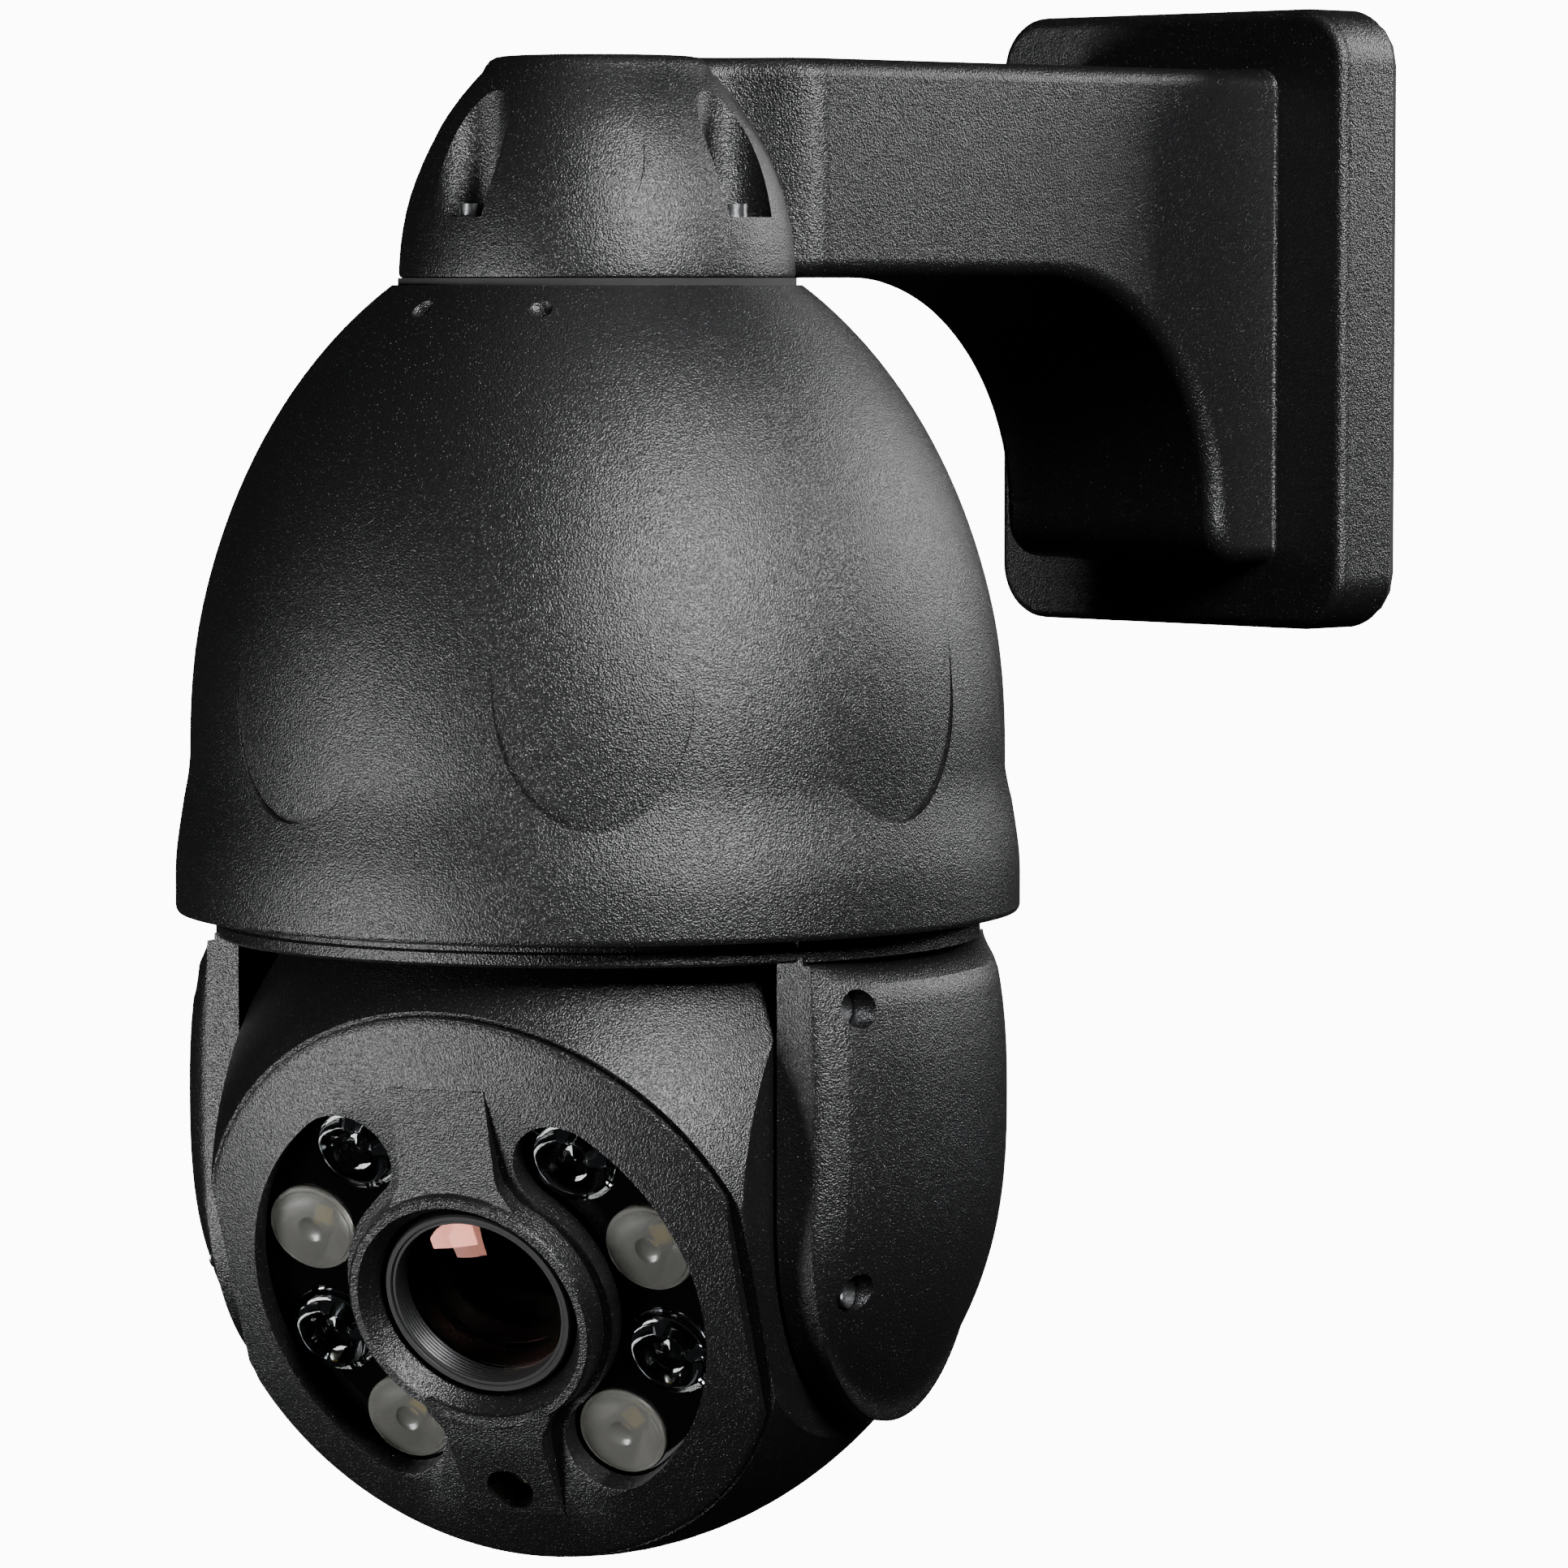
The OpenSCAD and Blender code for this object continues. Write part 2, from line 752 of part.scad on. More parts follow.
module white_lenses() {
  color("#cfc9b4") in_ball() at_leds(white_turns) rotate_extrude() {
    polygon([[0, 41.6], [3, 41.6], [4.4, 43], [8.3, 48.4], [8.45, led_e], [0, led_e]]);
  }
}

module led_board() {
  color("#12301f") in_ball() translate([0, 0, 39]) tube(45.5, 24, 1.6);
}

module led_chips() {
  color("#e6c84a") in_ball() at_leds(led_turns) translate([-1.7, -1.7, 40.6]) cube([3.4, 3.4, 0.9]);
}

module led_heat_sink() {
  color("#9a9da1") in_ball() difference() {
    translate([0, 0, 34]) tube(45.5, 26, 5);
    for (a = [0:20:340]) {
      rotate([0, 0, a]) translate([30, -1, 33]) cube([20, 2, 4]);
    }
    for (u = [-37, 37], v = [-34, 34]) {
      translate([u, v, 30]) cylinder(r = 3.3, h = 12);
    }
  }
}

// ---- Zoom module ----

module zoom_body() {
  color("#1a1a1c") in_ball() difference() {
    translate([-22, -22, -20]) cube([44, 44, 50]);
    translate([0, 0, -18]) cylinder(r = 17, h = 47);
    translate([-7, -6, -21]) cube([14, 12, 6]);
    translate([0, 0, 20]) cylinder(r = 11.5, h = 12);
  }
}

module zoom_barrel() {
  color("#141416") in_ball() translate([0, 0, 30]) difference() {
    union() {
      cylinder(r = 18.2, h = 25);
      cylinder(r = 21, h = 3);
    }
    translate([0, 0, -1]) cylinder(r = 16.9, h = 27);
  }
}

module lens_baffle() {
  color("#0a0a0b") in_ball() rotate_extrude() {
    polygon([[16.85, 50.3], [16.85, 54.6], [16.3, 54.6], [15.9, 50.6], [15.9, 50.3]]);
  }
}

module front_lens() {
  color("#8c6a78") in_ball() intersection() {
    translate([0, 0, 44]) cylinder(r = 16.8, h = 8.3);
    translate([0, 0, -7.7]) sphere(r = 60, $fn = 128);
  }
}

module guide_rods() {
  color("#c9ccd0") in_ball() for (side = [-1, 1]) {
    translate([side * rod_u, 0, -18]) cylinder(r = 1, h = 47);
  }
}

module iris_plate() {
  color("#2a2a2c") in_ball() translate([0, 0, 3]) difference() {
    cylinder(r = 17, h = 1.5);
    translate([0, 0, -1]) cylinder(r = 5, h = 4);
    for (side = [-1, 1]) {
      translate([side * rod_u, 0, -1]) cylinder(r = 1, h = 4);
    }
  }
}

// Ring that holds a lens group and slides on the two rods
module lens_cell(glass_r, h) {
  difference() {
    cylinder(r = cell_r, h = h);
    translate([0, 0, -1]) cylinder(r = glass_r, h = h + 2);
    for (side = [-1, 1]) {
      translate([side * rod_u, 0, -1]) cylinder(r = 1.05, h = h + 2);
    }
  }
}

// Lens with two curved faces
module glass(r, h, bulge) {
  intersection() {
    cylinder(r = r, h = h);
    translate([0, 0, h - bulge]) sphere(r = bulge, $fn = 64);
  }
}

module zoom_cell() {
  color("#2f3033") in_ball() translate([0, 0, 12]) lens_cell(9, 5);
}

module zoom_glass() {
  color("#a8c4d4") in_ball() translate([0, 0, 12.5]) glass(9, 4, 16);
}

module focus_cell() {
  color("#2f3033") in_ball() translate([0, 0, -7]) lens_cell(8, 4);
}

module focus_glass() {
  color("#a8c4d4") in_ball() translate([0, 0, -6.7]) glass(8, 3.4, 14);
}

module ir_cut_filter() {
  color("#b04a5a") in_ball() translate([-10, -6, -14.5]) cube([11, 12, 1.2]);
}

module sensor_board() {
  color("#1f6b3a") in_ball() {
    translate([-22, -22, -22]) cube([44, 44, 1.9]);
    translate([-5, -4, -20.2]) cube([10, 8, 1.7]);
  }
}

module module_bracket() {
  color("#a7aaad") in_ball() difference() {
    union() {
      translate([-49, -10, 26]) cube([98, 20, 2]);
      for (side = [-1, 1]) {
        translate([side * 48.4 - 0.9, -10, 14]) cube([1.8, 20, 14]);
      }
    }
    translate([-22, -22, 20]) cube([44, 44, 12]);
  }
}

module photocell() {
  color("#d9d2bf") in_ball() translate([0, -38, 0]) {
    translate([0, 0, 40.6]) cylinder(r = 2.4, h = 9);
    translate([0, 0, 45.5]) tube(4.6, 2.4, 1.9);
  }
}

module tilt_shafts() {
  color("#b8bbbf") in_yoke() for (side = [-1, 1]) {
    end = side > 0 ? 63.4 : 60.5;
    difference() {
      union() {
        side_pin(side, 46.4, 49.4, 13);
        side_pin(side, 47, end, 6);
      }
      side_pin(side, 45, 70, 3.5);
    }
  }
}

module tilt_pulley() {
  color("#d6d8da") in_yoke() translate([59.4, 0, tilt_z]) rotate([0, 90, 0]) pulley(tilt_pulley_r, 6, 3.8);
}

wall_bracket();
mounting_plate();
wall_gasket();
plate_lock_screws();
neck_screws();
neck_gasket();
dome_housing();
base_ring();
chassis_plate();
chassis_screws();
board_spacers();
main_board();
pan_motor();
pan_belt();
pan_bearing_outer();
pan_bearing_balls();
slip_ring_stator();
slip_ring_bracket();
pan_motor_pulley();
yoke_frame();
left_arm_cover();
right_arm_cover();
arm_cover_screws();
pan_shaft();
pan_shaft_nut();
pan_pulley();
pan_bearing_inner();
slip_ring_rotor();
tilt_bushes();
tilt_motor();
tilt_belt();
tilt_motor_pulley();
ball_housing();
face_gasket();
face_plate();
face_screws();
led_mask();
ir_lenses();
ir_lens_holders();
white_lenses();
led_board();
led_chips();
led_heat_sink();
zoom_body();
zoom_barrel();
lens_baffle();
front_lens();
guide_rods();
iris_plate();
sensor_board();
module_bracket();
photocell();
tilt_shafts();
tilt_pulley();
zoom_cell();
zoom_glass();
focus_cell();
focus_glass();
ir_cut_filter();
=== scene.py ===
"""Outdoor pan, tilt and zoom camera under a cast wall arm, finished piece by piece round its CAD frame."""

import json
import math

import bpy
from mathutils import Matrix, Vector


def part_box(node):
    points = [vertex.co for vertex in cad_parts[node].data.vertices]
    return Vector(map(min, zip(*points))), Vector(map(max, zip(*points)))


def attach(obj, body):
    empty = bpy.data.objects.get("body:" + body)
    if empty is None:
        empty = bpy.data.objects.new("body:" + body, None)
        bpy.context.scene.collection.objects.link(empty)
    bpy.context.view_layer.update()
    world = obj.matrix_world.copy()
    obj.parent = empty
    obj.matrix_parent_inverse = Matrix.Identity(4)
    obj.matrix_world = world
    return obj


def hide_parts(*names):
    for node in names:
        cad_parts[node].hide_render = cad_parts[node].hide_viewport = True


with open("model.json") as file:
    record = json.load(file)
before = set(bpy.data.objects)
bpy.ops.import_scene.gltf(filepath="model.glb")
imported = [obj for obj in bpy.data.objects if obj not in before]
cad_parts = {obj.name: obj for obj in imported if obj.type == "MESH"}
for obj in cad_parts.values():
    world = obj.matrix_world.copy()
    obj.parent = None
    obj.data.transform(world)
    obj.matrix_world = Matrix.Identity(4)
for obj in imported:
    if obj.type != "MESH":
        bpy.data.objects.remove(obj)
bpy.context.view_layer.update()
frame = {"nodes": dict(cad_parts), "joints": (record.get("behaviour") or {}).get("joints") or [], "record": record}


# --- Camera ---
# A long lens at the height of the neck, to the right of the dome, so both the
# dome's front and the side of the arm show.
camera_data = bpy.data.cameras.new("camera")
camera_data.sensor_width = 36
camera_data.lens = 162.8
camera = bpy.data.objects.new("camera", camera_data)
camera.location = (0.952, -1.070, 0.0082)
camera.rotation_euler = (math.radians(90 - 4.08), 0, math.radians(45.2))
bpy.context.scene.collection.objects.link(camera)
bpy.context.scene.camera = camera


# --- Studio ---
# White backdrop and a pale floor well below the camera, both seen but not lighting
# the black castings, and soft boxes round them in an otherwise dim room.
def srgb(code):
    """Turns a hex colour as seen on a screen into the linear colour a shader takes."""
    parts = [int(code[i : i + 2], 16) / 255 for i in (1, 3, 5)]
    linear = [p / 12.92 if p <= 0.04045 else ((p + 0.055) / 1.055) ** 2.4 for p in parts]
    return (*linear, 1.0)


def add_node(tree, kind, inputs, **settings):
    """Adds one node. Settings are its own, and inputs are numbers, colours or other nodes' outputs."""
    new = tree.nodes.new("ShaderNode" + kind)
    for name, value in settings.items():
        setattr(new, name, value)
    for name, value in inputs.items():
        if isinstance(value, bpy.types.NodeSocket):
            tree.links.new(value, new.inputs[name])
        else:
            new.inputs[name].default_value = value
    return new


room = bpy.data.worlds.new("studio_room")
room.use_nodes = True
room.node_tree.nodes.clear()
seen = add_node(room.node_tree, "Background", {"Color": srgb("#ffffff"), "Strength": 12.0})
dim = add_node(room.node_tree, "Background", {"Color": srgb("#cfd4da"), "Strength": 0.012})
ray = add_node(room.node_tree, "LightPath", {})
backdrop = add_node(room.node_tree, "MixShader",
                    {0: ray.outputs["Is Camera Ray"], 1: dim.outputs[0], 2: seen.outputs[0]})
add_node(room.node_tree, "OutputWorld", {"Surface": backdrop.outputs[0]})
bpy.context.scene.world = room

FLOOR_DROP = 1.3
bpy.ops.object.select_all(action="DESELECT")
bpy.ops.mesh.primitive_plane_add(size=24, location=(0, 0, -FLOOR_DROP))
floor = bpy.context.object
floor.name = "floor"
floor.visible_diffuse = False
floor.visible_glossy = False
floor.visible_transmission = False
floor_paint = bpy.data.materials.new("pale_studio_floor")
floor_paint.use_nodes = True
floor_paint.node_tree.nodes.clear()
pale = add_node(floor_paint.node_tree, "Emission", {"Color": srgb("#ffffff"), "Strength": 12.0})
add_node(floor_paint.node_tree, "OutputMaterial", {"Surface": pale.outputs[0]})
floor.data.materials.append(floor_paint)

dome_lo, dome_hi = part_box("dome_housing")
subject = Vector(((dome_lo.x + dome_hi.x) / 2, (dome_lo.y + dome_hi.y) / 2, dome_lo.z))
VIEW_TURN = 45.2


def soft_box(name, turn, rise, far, wide, high, power, tint="#ffffff"):
    """A soft box facing the dome, turned from the camera's side of it and raised, in degrees."""
    a, e = math.radians(VIEW_TURN + turn), math.radians(rise)
    out = Vector((math.sin(a) * math.cos(e), -math.cos(a) * math.cos(e), math.sin(e)))
    data = bpy.data.lights.new(name, "AREA")
    data.shape = "RECTANGLE"
    data.size, data.size_y = wide, high
    data.energy = power
    data.color = srgb(tint)[:3]
    box = bpy.data.objects.new(name, data)
    box.location = subject + out * far
    box.rotation_euler = out.to_track_quat("Z", "Y").to_euler()
    bpy.context.scene.collection.objects.link(box)
    return box


soft_box("key_box", 32, 30, 1.3, 0.3, 0.45, 44)
soft_box("left_box", -62, -16, 1.1, 0.35, 0.6, 18)
soft_box("side_box", 118, 22, 1.4, 0.35, 0.6, 14)
soft_box("top_box", 0, 80, 1.2, 0.5, 0.5, 1.5)


# --- Textured black powder coat, on every casting ---
# Polyester powder baked on die-cast aluminium. It gives the eye a near black, half
# matt skin with a sandy orange peel of half a millimetre, and pale specks painted into its colour as glints of
# that skin.
GRAIN = 0.0003
GLINT_SPECK = 0.0007


def new_material(name):
    """A material of that name, and its tree with only the standard shader and output."""
    material = bpy.data.materials.new(name)
    material.use_nodes = True
    return material, material.node_tree, material.node_tree.nodes["Principled BSDF"]


powder_coat, tree, coat = new_material("textured_black_powder_coat")
place = add_node(tree, "TexCoord", {}).outputs["Object"]
grain = add_node(tree, "TexNoise", {"Vector": place, "Scale": 1 / GRAIN, "Detail": 1.5, "Roughness": 0.5})
peel = add_node(tree, "TexNoise", {"Vector": place, "Scale": 1 / (2 * GRAIN), "Detail": 1.0})
height = add_node(tree, "Math", {0: peel.outputs["Fac"], 1: 0.5, 2: grain.outputs["Fac"]},
                  operation="MULTIPLY_ADD")
bump = add_node(tree, "Bump", {"Height": height.outputs[0], "Strength": 1.0, "Distance": 0.00016})
# Painted glints: pale grey specks mixed into the base colour, standing in for light caught by the textured skin.
painted_glint_cells = add_node(tree, "TexVoronoi", {"Vector": place, "Scale": 1 / GLINT_SPECK})
painted_glint_fleck = add_node(tree, "MapRange", {"Value": painted_glint_cells.outputs["Distance"], "From Min": 0.07, "From Max": 0.13,
                                    "To Min": 1.0, "To Max": 0.0})
colour = add_node(tree, "Mix", {0: painted_glint_fleck.outputs[0], 6: srgb("#0c0c0d"), 7: srgb("#77777a")},
                  data_type="RGBA")
tree.links.new(colour.outputs[2], coat.inputs["Base Color"])
tree.links.new(bump.outputs[0], coat.inputs["Normal"])
coat.inputs["Roughness"].default_value = 0.34
coat.inputs["IOR"].default_value = 1.5


# --- Bracket casting ---
# One hollow aluminium die casting: the wall plate, the arm with its arched leg, and
# the cap over the neck. It hangs on the mounting plate by two screws from below.
MM = 0.001
joints = {joint["name"]: joint for joint in frame["joints"]}
REACH = -joints["pan"]["pos_m"][1] / MM
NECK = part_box("neck_gasket")[1].z / MM
PLATE_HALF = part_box("wall_bracket")[1].x / MM
PLATE_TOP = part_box("wall_bracket")[1].z / MM
PLATE_FRONT = 17
ARM_HALF = 28.7
FRONT_HALF = 14
NARROW_END = 32
CAP_HEIGHT = 40.5
ARM_TOP = NECK + CAP_HEIGHT
LEG_FOOT = NECK - 56
LEG_FRONT = 34.5
ARCH = 47


def begin(name, add, **size):
    """Adds one primitive with nothing else selected, and opens it for shaping."""
    if bpy.context.object and bpy.context.object.mode == "EDIT":
        bpy.ops.object.mode_set(mode="OBJECT")
    bpy.ops.object.select_all(action="DESELECT")
    add(**size)
    piece = bpy.context.object
    piece.name = piece.data.name = name
    bpy.context.tool_settings.mesh_select_mode = (True, False, False)
    bpy.ops.object.mode_set(mode="EDIT")
    bpy.ops.mesh.select_all(action="SELECT")
    return piece


def close(piece):
    """Leaves edit mode with only this piece selected."""
    if bpy.context.object and bpy.context.object.mode == "EDIT":
        bpy.ops.object.mode_set(mode="OBJECT")
    bpy.ops.object.select_all(action="DESELECT")
    piece.select_set(True)
    bpy.context.view_layer.objects.active = piece


def draw(name, corners, fill=True):
    """Draws an outline by extruding one vertex from corner to corner."""
    piece = begin(name, bpy.ops.mesh.primitive_plane_add, size=2)
    bpy.ops.mesh.merge(type="CENTER")
    corners = [Vector(corner) for corner in corners]
    bpy.ops.transform.translate(value=corners[0])
    for start, end in zip(corners, corners[1:]):
        bpy.ops.mesh.extrude_region_move(TRANSFORM_OT_translate={"value": end - start})
    bpy.ops.mesh.select_all(action="SELECT")
    if fill:
        bpy.ops.mesh.edge_face_add()
    return piece


def prism(name, corners, along):
    """A filled outline pulled straight into a solid."""
    piece = draw(name, corners)
    bpy.ops.mesh.extrude_region_move(TRANSFORM_OT_translate={"value": along})
    bpy.ops.mesh.select_all(action="SELECT")
    bpy.ops.mesh.normals_make_consistent(inside=False)
    close(piece)
    return piece


def lathe(name, profile, steps=128):
    """Spins a profile of (radius, height) once round the upright axis."""
    piece = draw(name, [(r, 0, z) for r, z in profile], fill=False)
    bpy.ops.mesh.spin(steps=steps, angle=2 * math.pi, center=(0, 0, 0), axis=(0, 0, 1))
    bpy.ops.mesh.select_all(action="SELECT")
    bpy.ops.mesh.remove_doubles(threshold=0.0005)
    bpy.ops.mesh.normals_make_consistent(inside=False)
    close(piece)
    return piece


def pick(piece, kind, test, sharp=False):
    """Opens a piece with only those vertices, edges or faces selected whose middle passes the test."""
    close(piece)
    mesh = piece.data
    kinds = ("vertices", "edges", "polygons")
    bpy.context.tool_settings.mesh_select_mode = [kind == each for each in kinds]
    bpy.ops.object.mode_set(mode="EDIT")
    bpy.ops.mesh.select_all(action="DESELECT")
    if sharp:
        bpy.ops.mesh.edges_select_sharp(sharpness=math.radians(30))
    bpy.ops.object.mode_set(mode="OBJECT")
    for item in getattr(mesh, kind):
        if kind == "edges":
            middle = (mesh.vertices[item.vertices[0]].co + mesh.vertices[item.vertices[1]].co) / 2
        elif kind == "polygons":
            middle = item.center
        else:
            middle = item.co
        item.select = test(middle) and (item.select or not sharp)
    bpy.ops.object.mode_set(mode="EDIT")


def slice_at(piece, point, out, drop_outer=False):
    """Cuts every edge where a plane crosses it, and can drop and close the side it faces."""
    pick(piece, "vertices", lambda p: True)
    bpy.ops.mesh.bisect(plane_co=point, plane_no=out, use_fill=drop_outer, clear_outer=drop_outer)


def combine(piece, tool, how):
    """Unites, cuts or trims a piece with a tool, which is used up."""
    close(piece)
    bpy.ops.object.modifier_add(type="BOOLEAN")
    step = piece.modifiers[-1]
    step.operation = how
    step.object = tool
    step.solver = "EXACT"
    bpy.ops.object.modifier_apply(modifier=step.name)
    bpy.data.objects.remove(tool)


def round_edges(piece, width, segments=3, angle=35):
    """Rounds every edge that turns more than an angle, as the radii of a casting do."""
    close(piece)
    bpy.ops.object.modifier_add(type="BEVEL")
    step = piece.modifiers[-1]
    step.width = width
    step.segments = segments
    step.limit_method = "ANGLE"
    step.angle_limit = math.radians(angle)
    bpy.ops.object.modifier_apply(modifier=step.name)


def bake_place(piece, place):
    """Moves the mesh itself to a place, and leaves the object at the origin."""
    close(piece)
    piece.matrix_world = place
    bpy.ops.object.transform_apply(location=True, rotation=True, scale=True)


def around(piece, turns):
    """Copies a piece to each turn about the upright axis, in degrees, and joins the copies."""
    copies = []
    for turn in turns:
        copy = piece.copy()
        copy.data = piece.data.copy()
        copy.matrix_world = Matrix.Rotation(math.radians(turn), 4, "Z")
        bpy.context.scene.collection.objects.link(copy)
        copies.append(copy)
    bpy.data.objects.remove(piece)
    close(copies[0])
    bpy.ops.object.transform_apply()
    for copy in copies[1:]:
        bake_place(copy, copy.matrix_world.copy())
    close(copies[0])
    for copy in copies:
        copy.select_set(True)
    bpy.ops.object.join()
    return copies[0]


def finish_piece(piece, place, material, slot, body, *nodes, angle=30):
    """Scales a piece from millimetres to its place, gives its finish, and ties it to its body."""
    bake_place(piece, place @ Matrix.Scale(MM, 4))
    piece.data.materials.clear()
    piece.data.materials.append(material)
    bpy.ops.object.shade_smooth_by_angle(angle=math.radians(angle))
    bpy.ops.object.modifier_add(type="WEIGHTED_NORMAL")
    piece.modifiers[-1].keep_sharp = True
    bpy.ops.object.modifier_apply(modifier=piece.modifiers[-1].name)
    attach(piece, body)
    if nodes:
        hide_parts(*nodes)


def arc(x, y, radius, start, end, steps):
    """Points of an arc, from one angle to another, in degrees."""
    turns = [math.radians(start + (end - start) * i / steps) for i in range(steps + 1)]
    return [(x + radius * math.cos(t), y + radius * math.sin(t)) for t in turns]


plate = begin("bracket_casting", bpy.ops.mesh.primitive_cube_add, size=1)
bpy.ops.transform.resize(value=(2 * PLATE_HALF, PLATE_FRONT - 1.5, 2 * PLATE_TOP))
bpy.ops.transform.translate(value=(0, -(PLATE_FRONT + 1.5) / 2, 0))
pick(plate, "edges", lambda p: abs(abs(p.x) - PLATE_HALF) < 0.1 and abs(abs(p.z) - PLATE_TOP) < 0.1)
bpy.ops.mesh.bevel(offset=11, segments=10, affect="EDGES")
pick(plate, "edges", lambda p: p.y < 0.1 - PLATE_FRONT)
bpy.ops.mesh.bevel(offset=2.5, segments=5, affect="EDGES")

arm_side = [(-REACH, NECK), (-REACH, ARM_TOP), (-10, ARM_TOP), (-10, LEG_FOOT)]
arm_side += arc(8 - LEG_FRONT, LEG_FOOT + 8, 8, 270, 180, 6)
arm_side += arc(-LEG_FRONT - ARCH, NECK - ARCH, ARCH, 0, 90, 30)
arm = prism("arm", [(-ARM_HALF, y, z) for y, z in arm_side], (2 * ARM_HALF, 0, 0))
widths = [(0, FRONT_HALF)]
for behind in range(FRONT_HALF, NARROW_END, 2):
    share = (behind - FRONT_HALF) / (NARROW_END - FRONT_HALF)
    widths.append((behind, FRONT_HALF + (ARM_HALF - FRONT_HALF) * share**2 * (3 - 2 * share)))
for behind in range(FRONT_HALF, NARROW_END + 2, 2):
    slice_at(arm, (0, behind - REACH, 0), (0, 1, 0))
for behind, half in widths:
    pick(arm, "vertices", lambda p: abs(p.y + REACH - behind) < 0.1)
    bpy.ops.transform.resize(value=(half / ARM_HALF, 1, 1), center_override=(0, 0, 0))
round_edges(arm, 3.6, 5, 50)
combine(plate, arm, "UNION")
pick(plate, "edges", lambda p: abs(p.y + PLATE_FRONT) < 0.02 and abs(p.x) < ARM_HALF + 1
     and LEG_FOOT - 1 < p.z < ARM_TOP + 1, sharp=True)
bpy.ops.mesh.bevel(offset=1.0, segments=3, affect="EDGES")


CAP_ROUND = 53.5
CAP_SHIFT = 17


def cap_radius(height, inset=0.0):
    """Radius of the cap at a height above the neck."""
    return math.sqrt(CAP_ROUND**2 - height**2) - CAP_SHIFT - inset


cap_profile = [(0, 0), (35.9, 0), (36.35, 0.25)]
cap_profile += [(cap_radius(h), h) for h in (0.8, 3, 6, 9, 12, 15, 18, 21, 24, 27, 30, 33, 36, 37.5)]
cap_profile += [(20.5, 38.7), (19.7, 39.7), (18.6, 40.3), (17.4, CAP_HEIGHT), (0, CAP_HEIGHT)]
neck_place = Matrix.Translation((0, -REACH, NECK))
cap = lathe("cap", cap_profile, 144)
bake_place(cap, neck_place)
combine(plate, cap, "UNION")

POCKETS = (0, 100, -100)
pocket = begin("pocket", bpy.ops.mesh.primitive_cylinder_add, vertices=64, radius=7.2, depth=24,
               location=(0, -31.5, 23))
close(pocket)
bpy.ops.object.transform_apply()
pocket = around(pocket, POCKETS)
bake_place(pocket, neck_place)
combine(plate, pocket, "DIFFERENCE")

RELIEF_DEPTH = 0.5
relief_outline = [(7.4, 30), (7.2, 19)] + arc(0, 19, 6.9, 0, -180, 16) + [(-7.2, 19), (-7.4, 30)]
relief = prism("relief", [(x, -15, z) for x, z in relief_outline], (0, -30, 0))
fade = [(cap_radius(h, RELIEF_DEPTH * min((28.5 - h) / 8, 1)), h) for h in range(5, 33, 2)]
core = lathe("relief_core", [(0, 5)] + fade + [(0, 31)], 144)
combine(relief, core, "DIFFERENCE")
relief = around(relief, (49, -49))
bake_place(relief, neck_place)
combine(plate, relief, "DIFFERENCE")

recess = begin("recess", bpy.ops.mesh.primitive_cube_add, size=1)
bpy.ops.transform.resize(value=(80, 14, 2 * PLATE_TOP - 10))
bpy.ops.transform.translate(value=(0, -5, 0))
close(recess)
combine(plate, recess, "DIFFERENCE")
for x in (-22, 22):
    hole = begin("lock_hole", bpy.ops.mesh.primitive_cylinder_add, vertices=32, radius=2.1, depth=8,
                 location=(x, -7, 3 - PLATE_TOP))
    close(hole)
    combine(plate, hole, "DIFFERENCE")
finish_piece(plate, Matrix.Identity(4), powder_coat, "cast_black", "bracket", "wall_bracket")


# --- Dome housing ---
# Aluminium casting over the pan drive: a tall dome that flares to a rim, with eight
# shallow scoops cast round its foot and three small dimples under the neck.
DOME_HALF = 75.75
DOME_RISE = 100
FLARE_FROM = 88
FLARE_HEIGHT = 21
FLARE_OUT = 2.25
DOME_WALL = 3
SCOOP_HALF = 17.8
SCOOP_FOOT = 24.5
SCOOP_MIDDLE = 72
SCOOP_DEPTH = 0.55


def dome_radius(drop):
    """Radius of the dome at a depth below the neck."""
    if drop < FLARE_FROM:
        return DOME_HALF * math.sqrt(1 - ((FLARE_FROM - drop) / DOME_RISE) ** 2)
    share = min(drop - FLARE_FROM, FLARE_HEIGHT) / FLARE_HEIGHT
    return DOME_HALF + FLARE_OUT * share * share * (3 - 2 * share)


drops = [1.3, 2, 3, 4.5, 6.5] + list(range(9, FLARE_FROM, 3)) + list(range(FLARE_FROM, 107, 2))
drops += [109, 112, 115]
dome_profile = [(18.5, -1.3)] + [(dome_radius(drop), -drop) for drop in drops]
dome_profile += [(77.9, -115.6), (77.6, -116.05), (77.1, -116.2), (75.6, -116.2), (75.6, -112.6)]
dome_profile += [(DOME_HALF - DOME_WALL, -112.6)]
dome_profile += [(dome_radius(drop) - DOME_WALL, -drop) for drop in range(FLARE_FROM, 12, -6)]
dome_profile += [(18.5, -11.3), (18.5, -1.3)]
dome = lathe("dome_casting", dome_profile, 192)

scoop_outline = [(SCOOP_HALF * x, SCOOP_FOOT * z - SCOOP_MIDDLE) for x, z in arc(0, 0, 1, 0, -180, 28)]
scoop_outline += [(-18.6, -60), (18.6, -60)]
scoop = prism("scoop", [(x, -70, z) for x, z in scoop_outline], (0, -20, 0))
floor_line = []
for drop in list(range(58, FLARE_FROM, 2)) + [FLARE_FROM, 96, 104, 112]:
    share = min(max((drop - 60) / 28, -0.05), 1)
    depth = SCOOP_DEPTH * share * abs(share) * (3 - 2 * share)
    floor_line.append((min(dome_radius(drop), DOME_HALF) - depth, -drop))
floor_of_scoop = lathe("scoop_floor", [(0, -58)] + floor_line + [(0, -112)], 192)
combine(scoop, floor_of_scoop, "DIFFERENCE")
scoops = around(scoop, range(1, 361, 45))
combine(dome, scoops, "DIFFERENCE")
round_edges(dome, 0.35, 2, 20)
